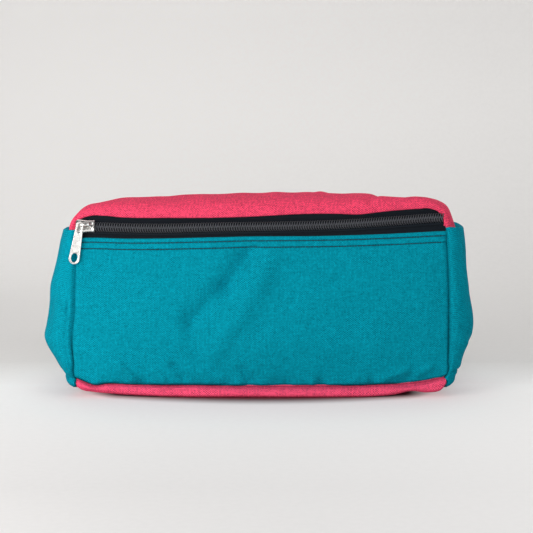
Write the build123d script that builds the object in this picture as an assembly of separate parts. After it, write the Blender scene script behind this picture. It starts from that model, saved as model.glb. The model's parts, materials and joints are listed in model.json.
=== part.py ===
from build123d import *
import os
from math import asin, atan2, cos, degrees, radians, sin

# A waist pack standing on its base, in millimetres.
# +X is right as seen from the front, +Y runs back to the wearer, +Z is up.
# The origin is the centre of the base's flat underside.

# Body
BODY_WIDTH = 235.0          # between the side seams
BODY_DEPTH = 76.0           # front face to back face
BACK_HEIGHT = 121.5         # top of the crown at the back
FABRIC = 1.2                # coated pack cloth with its seam fold
BASE_SEAM_HEIGHT = 8.0      # front and back seams of the base
CROWN_CORNER_RADIUS = 15.5  # rounded upper corners
CROWN_ARCH = 6.5            # how far the top panel bows up
CROWN_END_ARCH = 2.0        # the same at its two ends
CROWN_END_INSET = 10.0      # front edge of the ends, behind the front face
CROWN_STEPS = 5             # facets round each corner
LID_CLEARANCE = 0.8         # top panel clear of the back and sides
SIDE_TOP_HEIGHT = 105.0     # upper edge of the side panels
SIDE_BASE_HEIGHT = 0.8      # lower edge of the side panels
SIDE_BASE_INSET = 7.0       # the side panels narrow by this at the base
SIDE_WIDE_HEIGHT = 33.0     # where the sides stand out furthest
SIDE_UPPER_HEIGHT = 66.0
SIDE_BULGE_BASE = 2.4
SIDE_BULGE_SEAM = 10.0
SIDE_BULGE_WIDE = 21.5
SIDE_BULGE_UPPER = 19.0
SIDE_BULGE_TOP = 12.0
FOAM_THICKNESS = 5.0
LINING_THICKNESS = 0.8

# Zip: a number 5 coil that leans back and rises to the right
ZIP_HEIGHT_LEFT = 106.7     # coil centre at the left seam
ZIP_RISE = 6.2              # from the left seam to the right seam
ZIP_LEAN = 20.0             # degrees from upright
TAPE_THICKNESS = 0.6
TAPE_EDGE = 1.9             # inner edge of each tape, from the centre line
TAPE_SHOWN_BELOW = 6.4      # front panel's upper edge, from the centre line
TAPE_SHOWN_ABOVE = 6.0      # top panel's front edge, from the centre line
TAPE_HIDDEN = 1.6           # tape tucked behind the front panel
COIL_HALF_WIDTH = 3.1
COIL_THICKNESS = 2.4
TOOTH_PITCH = 2.6
TOOTH_TIP = 0.8             # how far each tooth passes the centre line
TOOTH_GAP = 0.3
END_TAB_LENGTH = 1.4
END_TAB_HALF_HEIGHT = 5.6
LAYER_GAP = 0.1             # tape clear of the cloth that it is sewn behind
ZIP_END_INSET = 0.5         # tape and tabs stop short of the side seams

# Slider and pull
SLIDER_LENGTH = 11.6
SLIDER_HALF_WIDTH = 4.5
SLIDER_TAIL_HALF_WIDTH = 4.0
SLIDER_PLATE = 1.0
SLIDER_FLANGE = 0.8
SLIDER_CLEARANCE = 0.3
WEDGE_START = 0.8
WEDGE_LENGTH = 3.6
WEDGE_HALF_WIDTH = 1.6
BRIDGE_LEG_RADIUS = 0.65
BRIDGE_LEG_INSET = 3.0      # first leg, from the slider's leading end
BRIDGE_SPAN = 6.2           # between the legs
BRIDGE_WINDOW = 3.6         # clear height under the bridge
BRIDGE_BAR = 1.0
PULL_HEIGHT_OFF_PLATE = 2.5 # pull's plane at the leg, above the slider's plate
PULL_LENGTH = 27.0
PULL_THICKNESS = 1.1
PULL_END_RADIUS = 3.3
PULL_EYE_RADIUS = 2.1
PULL_EYE_SLOT_WIDTH = 2.3
PULL_EYE_SLOT_LENGTH = 6.3
PULL_EYE_ABOVE_LEG = 1.1
PULL_RIM = 1.1
PULL_HOLE_RADIUS_X = 2.0
PULL_HOLE_RADIUS_Y = 2.9
PULL_TILT = 10.5            # degrees from plumb, to the left

# Topstitching along the front panel's upper edge
STITCH_LENGTH = 2.6
STITCH_PITCH = 3.4
STITCH_THREAD = 0.4
STITCH_FIRST_ROW = 2.8
STITCH_ROW_SPACING = 4.0
STITCH_END_MARGIN = 3.0

# Waist belt: 25 mm webbing in a buckled loop that stands on its edge behind the pack
BELT_WIDTH = 25.0
BELT_THICKNESS = 1.6
BELT_PLY_GAP = 0.3
BELT_REACH = 149.0          # from the pack's back to the far run of the loop
BELT_CORNER_RADIUS = 52.0
BELT_TAIL = 10.0            # length of the folded-back end past the left corner
WING_HEIGHT_ABOVE_BASE = 36.0
WING_THICKNESS = 3.0
WING_LENGTH = 28.0
WING_SEAM_HEIGHT = 54.0
WING_TIP_HEIGHT = 28.0
WING_LAP = 14.0             # webbing sewn onto the wing
TACK_WIDTH = 0.6
TACK_PROUD = 0.3

# Side-release buckle
BUCKLE_X = 0.0              # mouth of the socket
BUCKLE_HEIGHT = 34.0
BUCKLE_THICKNESS = 11.0
BUCKLE_FLOOR_GAP = 1.0
SOCKET_LENGTH = 38.0
SOCKET_WALL_SIDE = 2.7
SOCKET_WALL_FACE = 2.3
SOCKET_CAVITY_LENGTH = 30.0
SOCKET_ROUNDING = 2.0
WINDOW_START = 12.5
WINDOW_LENGTH = 15.0
WEB_SLOT_LENGTH = 3.5
WEB_SLOT_MARGIN = 0.7       # slot beyond each edge of the webbing
WEB_BAR_LENGTH = 3.5
WEB_BAR_THICKNESS = 2.4
WEB_CLEARANCE = 0.15
PLUG_LENGTH = 24.0
PLUG_THICKNESS = 6.0
PLUG_GAP = 0.3
PLUG_NOSE_LENGTH = 6.5
PLUG_REAR_BAR_THICKNESS = 1.4
TONGUE_LENGTH = 24.0
TONGUE_HEIGHT = 7.0
TONGUE_THICKNESS = 5.2
PRONG_ROOT_X = 2.0
PRONG_CENTRE = 11.5         # from the buckle's middle
PRONG_HALF_WIDTH = 1.9
PRONG_HEAD_START = 14.2
PRONG_HEAD_END = 21.0
PRONG_LENGTH = 26.5
PRONG_HEAD_HEIGHT = 16.8
PRONG_TIP_HEIGHT = 13.2
KEEPER_X = -50.0
KEEPER_LENGTH = 8.0
KEEPER_WALL = 1.4
KEEPER_CLEARANCE = 0.3

# Worked out from the sizes above
HALF_WIDTH = BODY_WIDTH / 2
HALF_DEPTH = BODY_DEPTH / 2
CROWN_CORNER_HEIGHT = BACK_HEIGHT - CROWN_CORNER_RADIUS
BACK_TOP = BACK_HEIGHT - FABRIC - LID_CLEARANCE
BACK_STACK = FABRIC + FOAM_THICKNESS + LINING_THICKNESS
TAPE_FACE = TAPE_THICKNESS / 2
TAPE_LOWER_EDGE = TAPE_SHOWN_BELOW + TAPE_HIDDEN
LEAN_SIN = sin(radians(ZIP_LEAN))
LEAN_COS = cos(radians(ZIP_LEAN))
ZIP_INSET = FABRIC + TAPE_LOWER_EDGE * LEAN_SIN + TAPE_FACE * LEAN_COS + LAYER_GAP
ZIP_TILT = degrees(atan2(ZIP_RISE, BODY_WIDTH))
ZIP_LENGTH = BODY_WIDTH / cos(radians(ZIP_TILT))
ZIP_DIRECTION = Vector(cos(radians(ZIP_TILT)), 0, sin(radians(ZIP_TILT)))
ZIP_PLANE = Plane(
    origin=(-HALF_WIDTH, -HALF_DEPTH + ZIP_INSET, ZIP_HEIGHT_LEFT),
    x_dir=ZIP_DIRECTION,
    z_dir=ZIP_DIRECTION.cross(Vector(0, LEAN_SIN, LEAN_COS)),
)
COIL_TOP = TAPE_FACE + COIL_THICKNESS
PLATE_UNDER = COIL_TOP + SLIDER_CLEARANCE
PLATE_TOP = PLATE_UNDER + SLIDER_PLATE
BACK_PLATE_TOP = -TAPE_FACE - SLIDER_CLEARANCE
BRIDGE_UNDER = PLATE_TOP + BRIDGE_WINDOW
BRIDGE_TOP = BRIDGE_UNDER + BRIDGE_BAR
TAPE_START = ZIP_END_INSET
TAPE_END = ZIP_LENGTH - ZIP_END_INSET
SLIDER_START = TAPE_START + END_TAB_LENGTH + SLIDER_CLEARANCE
SLIDER_STOP = TAPE_END - END_TAB_LENGTH - SLIDER_CLEARANCE - SLIDER_LENGTH
LID_ZIP_START = SLIDER_START + SLIDER_LENGTH + SLIDER_CLEARANCE
LID_ZIP_END = SLIDER_STOP - SLIDER_CLEARANCE
COIL_START = SLIDER_START + WEDGE_START + WEDGE_LENGTH + SLIDER_CLEARANCE
COIL_END = TAPE_END - END_TAB_LENGTH
PULL_PIVOT = ZIP_PLANE.from_local_coords(
    Vector(SLIDER_START + BRIDGE_LEG_INSET, 0, PLATE_TOP + PULL_HEIGHT_OFF_PLATE)
)
PULL_TOP = PULL_EYE_ABOVE_LEG + PULL_RIM
BELT_SLOPE = asin((WING_HEIGHT_ABOVE_BASE - BUCKLE_HEIGHT / 2 - BUCKLE_FLOOR_GAP) / BELT_REACH)
BELT_PLANE = Plane(
    origin=(0, HALF_DEPTH, WING_HEIGHT_ABOVE_BASE),
    x_dir=(1, 0, 0),
    z_dir=(0, sin(BELT_SLOPE), cos(BELT_SLOPE)),
)
BELT_SIDE = HALF_WIDTH + BELT_THICKNESS / 2
BELT_START = WING_LENGTH - WING_LAP
PLY = (BELT_THICKNESS + BELT_PLY_GAP) / 2
WRAP = WEB_BAR_THICKNESS / 2 + WEB_CLEARANCE + BELT_THICKNESS / 2
REAR_WRAP = PLUG_REAR_BAR_THICKNESS / 2 + WEB_CLEARANCE + BELT_THICKNESS / 2
WEB_SLOT_HEIGHT = BELT_WIDTH + 2 * WEB_SLOT_MARGIN
BUCKLE_PLACE = BELT_PLANE.location * Pos(BUCKLE_X, BELT_REACH, 0)
SOCKET_SLOT_END = SOCKET_LENGTH - WEB_BAR_LENGTH
PLUG_BAR_START = PLUG_GAP + PLUG_NOSE_LENGTH + WEB_SLOT_LENGTH


def block(x, y, z):
    """A box between three pairs of limits."""
    size = (x[1] - x[0], y[1] - y[0], z[1] - z[0])
    centre = ((x[0] + x[1]) / 2, (y[0] + y[1]) / 2, (z[0] + z[1]) / 2)
    return Pos(*centre) * Box(*size)


def prism(points, low, high):
    """A polygon in XY raised between two heights."""
    return Pos(0, 0, low) * extrude(Polygon(*points, align=None), high - low, dir=(0, 0, 1))


def in_zip(along, up, out):
    """A box in the zip's plane: along the coil, up the tape and out of it."""
    return ZIP_PLANE * block(along, up, out)


def zip_height(x, up):
    """Height of a point of the zip's plane, from its x and its place up the tape."""
    along = (x + HALF_WIDTH) / cos(radians(ZIP_TILT))
    return ZIP_PLANE.from_local_coords(Vector(along, up, 0)).Z


# ---- Body panels


def front_panel():
    outline = Polygon(
        (-HALF_WIDTH, BASE_SEAM_HEIGHT),
        (HALF_WIDTH, BASE_SEAM_HEIGHT),
        (HALF_WIDTH, zip_height(HALF_WIDTH, -TAPE_SHOWN_BELOW)),
        (-HALF_WIDTH, zip_height(-HALF_WIDTH, -TAPE_SHOWN_BELOW)),
        align=None,
    )
    return Pos(0, -HALF_DEPTH, 0) * extrude(Plane.XZ * outline, FABRIC, dir=(0, 1, 0))


def bottom_panel():
    middle = HALF_DEPTH - FABRIC / 2
    path = FilletPolyline(
        (-middle, BASE_SEAM_HEIGHT),
        (-middle, FABRIC / 2),
        (middle, FABRIC / 2),
        (middle, BASE_SEAM_HEIGHT),
        radius=0.98 * (BASE_SEAM_HEIGHT - FABRIC / 2),
    )
    profile = Plane.YZ * trace(path, line_width=FABRIC)
    return extrude(profile, HALF_WIDTH, both=True)


def side_arc(half_depth, bulge):
    return ThreePointArc((0, -half_depth), (bulge, 0), (0, half_depth))


def side_section(height, half_depth, bulge):
    outer = side_arc(half_depth, bulge)
    inner = side_arc(half_depth - FABRIC, bulge - FABRIC)
    ends = [Line(outer @ 0, inner @ 0), Line(outer @ 1, inner @ 1)]
    return Pos(0, 0, height) * make_face([outer, inner, *ends])


def side_panel():
    """The right side: a bulging strip with its upper edge folded in to the top panel."""
    sections = [
        side_section(SIDE_BASE_HEIGHT, HALF_DEPTH - SIDE_BASE_INSET, SIDE_BULGE_BASE),
        side_section(BASE_SEAM_HEIGHT, HALF_DEPTH, SIDE_BULGE_SEAM),
        side_section(SIDE_WIDE_HEIGHT, HALF_DEPTH, SIDE_BULGE_WIDE),
        side_section(SIDE_UPPER_HEIGHT, HALF_DEPTH, SIDE_BULGE_UPPER),
        side_section(SIDE_TOP_HEIGHT, HALF_DEPTH, SIDE_BULGE_TOP),
    ]
    wall = loft(sections, ruled=True)
    rim = side_arc(HALF_DEPTH, SIDE_BULGE_TOP)
    cap = make_face([rim, Line(rim @ 1, rim @ 0)])
    fold = Pos(0, 0, SIDE_TOP_HEIGHT - FABRIC) * extrude(cap, FABRIC, dir=(0, 0, 1))
    return Pos(HALF_WIDTH, 0, 0) * (wall + fold)


def back_layer(front, thickness):
    """One layer of the padded back, with upper corners that follow the crown."""
    corner = CROWN_CORNER_RADIUS - FABRIC - LID_CLEARANCE
    crown_half = HALF_WIDTH - FABRIC - LID_CLEARANCE
    crown = Pos(0, BACK_TOP - corner) * Rectangle(2 * crown_half, 2 * corner)
    crown = fillet(crown.vertices(), 0.999 * corner)
    below = Pos(0, (BASE_SEAM_HEIGHT + SIDE_TOP_HEIGHT) / 2) * Rectangle(
        BODY_WIDTH, SIDE_TOP_HEIGHT - BASE_SEAM_HEIGHT
    )
    middle = Pos(0, (SIDE_TOP_HEIGHT + BACK_TOP - corner) / 2 - FABRIC) * Rectangle(
        2 * crown_half, BACK_TOP - corner - SIDE_TOP_HEIGHT + 2 * FABRIC
    )
    outline = Plane.XZ * (below + middle + crown)
    return Pos(0, front, 0) * extrude(outline, thickness, dir=(0, 1, 0))


def crown_section(x, front, front_height, back_height, arch):
    """A strip of the top panel's cross-section, in a plane across the pack."""
    start = Vector(front, front_height)
    end = Vector(HALF_DEPTH, back_height)
    crest = (start + end) / 2 + Vector(0, arch)
    drop = Vector(0, FABRIC)
    outer = ThreePointArc(start, crest, end)
    inner = ThreePointArc(start - drop, crest - drop, end - drop)
    ends = [Line(start, start - drop), Line(end, end - drop)]
    return Pos(x, 0, 0) * (Plane.YZ * make_face([outer, inner, *ends]))


def crown_corner(side):
    """Sections round one upper corner, from the end of the pack inwards."""
    sections = []
    front_inset = ZIP_INSET + TAPE_SHOWN_ABOVE * LEAN_SIN
    for step in range(CROWN_STEPS + 1):
        angle = radians(90 * step / CROWN_STEPS)
        x = side * (HALF_WIDTH - CROWN_CORNER_RADIUS * (1 - cos(angle)))
        back_height = CROWN_CORNER_HEIGHT + CROWN_CORNER_RADIUS * sin(angle)
        share = sin(angle)
        front = -HALF_DEPTH + (front_inset if step else CROWN_END_INSET)
        front_height = zip_height(x, TAPE_SHOWN_ABOVE) if step else CROWN_CORNER_HEIGHT
        arch = CROWN_END_ARCH + (CROWN_ARCH - CROWN_END_ARCH) * share
        sections.append(crown_section(x, front, front_height, back_height, arch))
    return sections


def top_panel():
    left = crown_corner(-1)
    right = crown_corner(1)
    return loft(left + right[::-1], ruled=True)


# ---- Zip


def tape_span(start, end, low, high):
    return in_zip((start, end), (low, high), (-TAPE_FACE, TAPE_FACE))


def coil_span(start, end, upper):
    """Half of the coil as a row of teeth that mesh with the other half."""
    side = 1 if upper else -1
    root = side * (TOOTH_TIP + TOOTH_GAP)
    tip = -side * TOOTH_TIP
    back = side * COIL_HALF_WIDTH
    shift = TOOTH_PITCH / 2 if upper else 0
    tooth = TOOTH_PITCH / 2 - TOOTH_GAP
    first = int((start - shift) // TOOTH_PITCH) + 1
    last = int((end - shift - tooth) // TOOTH_PITCH)
    points = [(start, back), (start, root)]
    for number in range(first, last + 1):
        left = number * TOOTH_PITCH + shift
        points += [(left, root), (left, tip), (left + tooth, tip), (left + tooth, root)]
    points += [(end, root), (end, back)]
    return ZIP_PLANE * prism(points, TAPE_FACE, COIL_TOP)


def end_tab(start):
    reach = END_TAB_HALF_HEIGHT
    return in_zip((start, start + END_TAB_LENGTH), (-reach, reach), (TAPE_FACE, TAPE_FACE + FABRIC))


def slider_outline():
    shoulder = 0.45 * SLIDER_LENGTH
    return [
        (SLIDER_START, -SLIDER_HALF_WIDTH),
        (SLIDER_START + shoulder, -SLIDER_HALF_WIDTH),
        (SLIDER_START + SLIDER_LENGTH, -SLIDER_TAIL_HALF_WIDTH),
        (SLIDER_START + SLIDER_LENGTH, SLIDER_TAIL_HALF_WIDTH),
        (SLIDER_START + shoulder, SLIDER_HALF_WIDTH),
        (SLIDER_START, SLIDER_HALF_WIDTH),
    ]


def slider():
    """Two plates joined by the wedge, with flanges that run down beside the coil."""
    outline = slider_outline()
    plate = prism(outline, PLATE_UNDER, PLATE_TOP)
    back_plate = prism(outline, BACK_PLATE_TOP - SLIDER_PLATE, BACK_PLATE_TOP)
    skirt = prism(outline, TAPE_FACE + SLIDER_CLEARANCE, PLATE_UNDER)
    channel = SLIDER_HALF_WIDTH - SLIDER_FLANGE
    end = SLIDER_START + SLIDER_LENGTH
    tail_channel = COIL_HALF_WIDTH + SLIDER_CLEARANCE / 2
    passage = prism(
        [
            (SLIDER_START - 1, -channel),
            (SLIDER_START + WEDGE_LENGTH, -channel),
            (end + 1, -tail_channel),
            (end + 1, tail_channel),
            (SLIDER_START + WEDGE_LENGTH, channel),
            (SLIDER_START - 1, channel),
        ],
        0,
        PLATE_UNDER,
    )
    tip = SLIDER_START + WEDGE_START
    wedge = prism(
        [
            (tip, 0),
            (tip + 0.4 * WEDGE_LENGTH, -WEDGE_HALF_WIDTH),
            (tip + WEDGE_LENGTH, 0),
            (tip + 0.4 * WEDGE_LENGTH, WEDGE_HALF_WIDTH),
        ],
        BACK_PLATE_TOP,
        PLATE_UNDER,
    )
    return ZIP_PLANE * (plate + back_plate + (skirt - passage) + wedge)


def bridge():
    """The staple-shaped loop on the slider that the pull hangs from."""
    first = SLIDER_START + BRIDGE_LEG_INSET
    height = BRIDGE_TOP - PLATE_TOP
    middle = (BRIDGE_TOP + PLATE_TOP) / 2
    legs = [
        Pos(first + offset, 0, middle) * Cylinder(BRIDGE_LEG_RADIUS, height)
        for offset in (0, BRIDGE_SPAN)
    ]
    bar = block(
        (first, first + BRIDGE_SPAN),
        (-BRIDGE_LEG_RADIUS, BRIDGE_LEG_RADIUS),
        (BRIDGE_UNDER, BRIDGE_TOP),
    )
    return ZIP_PLANE * (bar + legs[0] + legs[1])


def pull():
    """A tapered tab with a long eye at the bridge's leg and an oval finger hole."""
    eye = Pos(0, PULL_TOP - PULL_EYE_RADIUS) * Circle(PULL_EYE_RADIUS)
    end = Pos(0, PULL_TOP - PULL_LENGTH + PULL_END_RADIUS) * Circle(PULL_END_RADIUS)
    outline = make_hull([*eye.edges(), *end.edges()])
    slot_middle = PULL_EYE_ABOVE_LEG - PULL_EYE_SLOT_LENGTH / 2
    slot = Pos(0, slot_middle) * Rot(0, 0, 90) * SlotOverall(PULL_EYE_SLOT_LENGTH, PULL_EYE_SLOT_WIDTH)
    hole_middle = PULL_TOP - PULL_LENGTH + PULL_RIM + PULL_HOLE_RADIUS_Y
    hole = Pos(0, hole_middle) * Ellipse(PULL_HOLE_RADIUS_X, PULL_HOLE_RADIUS_Y)
    tab = extrude(outline - slot - hole, PULL_THICKNESS / 2, both=True)
    hanging = Plane(origin=PULL_PIVOT, x_dir=(1, 0, 0), z_dir=(0, -1, 0))
    return hanging * (Rot(0, 0, -PULL_TILT) * tab)


def topstitching():
    """Two rows of thread along the front panel's upper edge, one solid for each stitch."""
    usable = BODY_WIDTH - 2 * STITCH_END_MARGIN
    count = int(usable // STITCH_PITCH)
    stitches = []
    for row in range(2):
        below_edge = STITCH_FIRST_ROW + row * STITCH_ROW_SPACING
        for number in range(count):
            x = -HALF_WIDTH + STITCH_END_MARGIN + (number + 0.5) * STITCH_PITCH
            z = zip_height(x, -TAPE_SHOWN_BELOW) - below_edge
            place = Pos(x, -HALF_DEPTH - STITCH_THREAD / 2, z) * Rot(0, -ZIP_TILT, 0)
            stitches.append(place * Box(STITCH_LENGTH, STITCH_THREAD, STITCH_THREAD))
    return Compound(children=stitches)


# ---- Waist belt


def wing():
    """The right wing: padded cloth sewn into the rear side seam, tapering to the belt."""
    tip_low = BELT_PLANE.from_local_coords(Vector(0, WING_LENGTH, -WING_TIP_HEIGHT / 2))
    tip_high = BELT_PLANE.from_local_coords(Vector(0, WING_LENGTH, WING_TIP_HEIGHT / 2))
    outline = Polygon(
        (HALF_DEPTH, WING_HEIGHT_ABOVE_BASE - WING_SEAM_HEIGHT / 2),
        (tip_low.Y, tip_low.Z),
        (tip_high.Y, tip_high.Z),
        (HALF_DEPTH, WING_HEIGHT_ABOVE_BASE + WING_SEAM_HEIGHT / 2),
        align=None,
    )
    return Pos(HALF_WIDTH, 0, 0) * extrude(Plane.YZ * outline, WING_THICKNESS, dir=(-1, 0, 0))


def webbing(points, radii):
    """Flat webbing on its edge along a route in the belt's plane."""
    route = FilletPolyline(*points, radius=radii)
    return BELT_PLANE * extrude(trace(route, line_width=BELT_THICKNESS), BELT_WIDTH / 2, both=True)


def belt_right():
    """The fixed side: sewn to the wing, round the socket's bar and back on itself."""
    far = BELT_REACH
    slot = BUCKLE_X + SOCKET_SLOT_END - WEB_SLOT_LENGTH / 2
    past_bar = BUCKLE_X + SOCKET_LENGTH + 1.5
    together = past_bar + 6.5
    points = [
        (BELT_SIDE, BELT_START),
        (BELT_SIDE, far - PLY),
        (together, far - PLY),
        (past_bar, far - WRAP),
        (slot, far - WRAP),
        (slot, far + WRAP),
        (past_bar, far + WRAP),
        (together, far + PLY),
        (together + BELT_WIDTH / 2, far + PLY),
    ]
    tight = 1.5 * BELT_THICKNESS / 2
    gentle = 2 * BELT_THICKNESS
    radii = [BELT_CORNER_RADIUS, gentle, gentle, tight, tight, gentle, gentle]
    return webbing(points, radii)


def belt_left():
    """The adjustable side: through the plug's bars, with its end folded back."""
    far = BELT_REACH
    slot = BUCKLE_X - PLUG_GAP - PLUG_NOSE_LENGTH - WEB_SLOT_LENGTH / 2
    bar_end = BUCKLE_X - PLUG_BAR_START - WEB_BAR_LENGTH - 0.5
    rear_start = BUCKLE_X - PLUG_LENGTH + WEB_BAR_LENGTH + 1.5
    rear_end = BUCKLE_X - PLUG_LENGTH - 2
    together = rear_end - 6
    points = [
        (-BELT_SIDE, BELT_START),
        (-BELT_SIDE, far - PLY),
        (together, far - PLY),
        (rear_end, far - REAR_WRAP),
        (rear_start, far - REAR_WRAP),
        (bar_end, far - WRAP),
        (slot, far - WRAP),
        (slot, far + WRAP),
        (bar_end, far + WRAP),
        (rear_start, far + REAR_WRAP),
        (rear_end, far + REAR_WRAP),
        (together, far + PLY),
        (-BELT_SIDE - 2 * PLY, far + PLY),
        (-BELT_SIDE - 2 * PLY, far - BELT_CORNER_RADIUS - BELT_TAIL),
    ]
    tight = 1.5 * BELT_THICKNESS / 2
    gentle = 2 * BELT_THICKNESS
    radii = [BELT_CORNER_RADIUS] + [gentle] * 4 + [tight] * 2 + [gentle] * 4
    radii.append(BELT_CORNER_RADIUS + 2 * PLY)
    return webbing(points, radii)


def wing_stitching():
    """A sewn box on the webbing over each wing."""
    margin = 2.5
    half_height = BELT_WIDTH / 2 - margin
    inner = half_height - TACK_WIDTH
    start = BELT_START + margin
    end = WING_LENGTH - margin
    solids = []
    for side in (-1, 1):
        face = side * (HALF_WIDTH + BELT_THICKNESS)
        out = sorted((face, face + side * TACK_PROUD))
        outer_box = block(out, (start, end), (-half_height, half_height))
        hollow = block(
            (out[0] - 1, out[1] + 1), (start + TACK_WIDTH, end - TACK_WIDTH), (-inner, inner)
        )
        solids.append(BELT_PLANE * (outer_box - hollow))
    return Compound(children=solids)


def socket():
    half = BUCKLE_HEIGHT / 2
    face = BUCKLE_THICKNESS / 2
    shell = block((0, SOCKET_LENGTH), (-face, face), (-half, half))
    shell = fillet(shell.edges().filter_by(Axis.X), SOCKET_ROUNDING)
    inside = face - SOCKET_WALL_FACE
    cavity = block(
        (-1, SOCKET_CAVITY_LENGTH), (-inside, inside),
        (-half + SOCKET_WALL_SIDE, half - SOCKET_WALL_SIDE),
    )
    windows = block(
        (WINDOW_START, WINDOW_START + WINDOW_LENGTH), (-inside, inside), (-half - 1, half + 1)
    )
    slot_half = WEB_SLOT_HEIGHT / 2
    slot = block(
        (SOCKET_SLOT_END - WEB_SLOT_LENGTH, SOCKET_SLOT_END), (-face - 1, face + 1),
        (-slot_half, slot_half),
    )
    bar_face = WEB_BAR_THICKNESS / 2
    reliefs = [
        block((SOCKET_SLOT_END, SOCKET_LENGTH + 1), limits, (-slot_half, slot_half))
        for limits in ((-face - 1, -bar_face), (bar_face, face + 1))
    ]
    return BUCKLE_PLACE * (shell - cavity - windows - slot - reliefs[0] - reliefs[1])


def plug():
    half = BUCKLE_HEIGHT / 2
    face = PLUG_THICKNESS / 2
    base = block((-PLUG_LENGTH, -PLUG_GAP), (-face, face), (-half, half))
    base = fillet(base.edges().filter_by(Axis.X), SOCKET_ROUNDING)
    slot_half = WEB_SLOT_HEIGHT / 2
    span = (-slot_half, slot_half)
    through = (-face - 1, face + 1)
    nose = -PLUG_GAP - PLUG_NOSE_LENGTH
    bar = -PLUG_BAR_START
    bar_rear = bar - WEB_BAR_LENGTH
    rear_bar = -PLUG_LENGTH + WEB_BAR_LENGTH
    cuts = [
        block((bar, nose), through, span),
        block((rear_bar, bar_rear), through, span),
    ]
    for start, end, thickness in (
        (bar_rear, bar, WEB_BAR_THICKNESS),
        (-PLUG_LENGTH - 1, rear_bar, PLUG_REAR_BAR_THICKNESS),
    ):
        cuts.append(block((start, end), (thickness / 2, face + 1), span))
        cuts.append(block((start, end), (-face - 1, -thickness / 2), span))
    for cut in cuts:
        base = base - cut
    tongue_half = TONGUE_THICKNESS / 2
    tongue = block(
        (-PLUG_GAP - 1, TONGUE_LENGTH), (-tongue_half, tongue_half),
        (-TONGUE_HEIGHT / 2, TONGUE_HEIGHT / 2),
    )
    return BUCKLE_PLACE * (base + tongue)


def prong(side):
    """A spring arm with the hook that catches in the socket's window."""
    inner = PRONG_CENTRE - PRONG_HALF_WIDTH
    outer = PRONG_CENTRE + PRONG_HALF_WIDTH
    arm = Polygon(
        (PRONG_ROOT_X, inner),
        (PRONG_LENGTH, inner + 1),
        (PRONG_LENGTH, PRONG_TIP_HEIGHT),
        (PRONG_HEAD_END, PRONG_HEAD_HEIGHT),
        (PRONG_HEAD_START, PRONG_HEAD_HEIGHT),
        (PRONG_HEAD_START - 0.7, outer),
        (PRONG_ROOT_X, outer),
        align=None,
    )
    root = Pos(PRONG_ROOT_X, PRONG_CENTRE) * Circle(PRONG_HALF_WIDTH)
    solid = extrude(Plane.XZ * (arm + root), TONGUE_THICKNESS / 2, both=True)
    if side < 0:
        solid = mirror(solid, about=Plane.XY)
    return BUCKLE_PLACE * solid


def keeper():
    """A loop that slides on both layers of the belt and holds its folded end."""
    open_y = PLY + BELT_THICKNESS / 2 + KEEPER_CLEARANCE
    open_z = BELT_WIDTH / 2 + KEEPER_CLEARANCE
    wall_y = open_y + KEEPER_WALL
    wall_z = open_z + KEEPER_WALL
    limits = (KEEPER_X - KEEPER_LENGTH / 2, KEEPER_X + KEEPER_LENGTH / 2)
    loop = block(limits, (-wall_y, wall_y), (-wall_z, wall_z))
    loop = fillet(loop.edges().filter_by(Axis.X), KEEPER_WALL / 2)
    hole = block((limits[0] - 1, limits[1] + 1), (-open_y, open_y), (-open_z, open_z))
    return BUCKLE_PLACE * (loop - hole)


def left(solid):
    return mirror(solid, about=Plane.YZ)


def nodes():
    back_front = HALF_DEPTH - BACK_STACK
    tape_top = TAPE_SHOWN_ABOVE - FABRIC
    end_top = tape_top - SLIDER_CLEARANCE
    tape_ends = [(TAPE_START, LID_ZIP_START - TOOTH_GAP), (LID_ZIP_END + TOOTH_GAP, TAPE_END)]
    coil_ends = [(COIL_START, LID_ZIP_START - TOOTH_GAP), (LID_ZIP_END + TOOTH_GAP, COIL_END)]
    return {
        "front_panel": front_panel(),
        "bottom_panel": bottom_panel(),
        "side_panel_right": side_panel(),
        "side_panel_left": left(side_panel()),
        "back_lining": back_layer(back_front, LINING_THICKNESS),
        "back_foam": back_layer(back_front + LINING_THICKNESS, FOAM_THICKNESS),
        "back_panel": back_layer(HALF_DEPTH - FABRIC, FABRIC),
        "top_panel": top_panel(),
        "zip_tape_lower": tape_span(TAPE_START, TAPE_END, -TAPE_LOWER_EDGE, -TAPE_EDGE),
        "zip_tape_upper": tape_span(LID_ZIP_START, LID_ZIP_END, TAPE_EDGE, tape_top),
        "zip_tape_upper_ends": Compound(
            children=[tape_span(start, end, TAPE_EDGE, end_top) for start, end in tape_ends]
        ),
        "zip_coil_lower": coil_span(COIL_START, COIL_END, upper=False),
        "zip_coil_upper": coil_span(LID_ZIP_START, LID_ZIP_END, upper=True),
        "zip_coil_upper_ends": Compound(
            children=[coil_span(start, end, upper=True) for start, end in coil_ends]
        ),
        "zip_end_tab_left": end_tab(TAPE_START),
        "zip_end_tab_right": end_tab(TAPE_END - END_TAB_LENGTH),
        "zip_slider": slider(),
        "zip_bridge": bridge(),
        "zip_pull": pull(),
        "front_topstitching": topstitching(),
        "belt_wing_right": wing(),
        "belt_wing_left": left(wing()),
        "belt_right": belt_right(),
        "belt_left": belt_left(),
        "wing_stitching": wing_stitching(),
        "buckle_socket": socket(),
        "buckle_plug": plug(),
        "buckle_prong_upper": prong(1),
        "buckle_prong_lower": prong(-1),
        "belt_keeper": keeper(),
    }


os.makedirs("parts", exist_ok=True)
for name, shape in nodes().items():
    export_step(shape, f"parts/{name}.step")
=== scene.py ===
import json
import math
from collections import namedtuple
from functools import partialmethod

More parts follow.
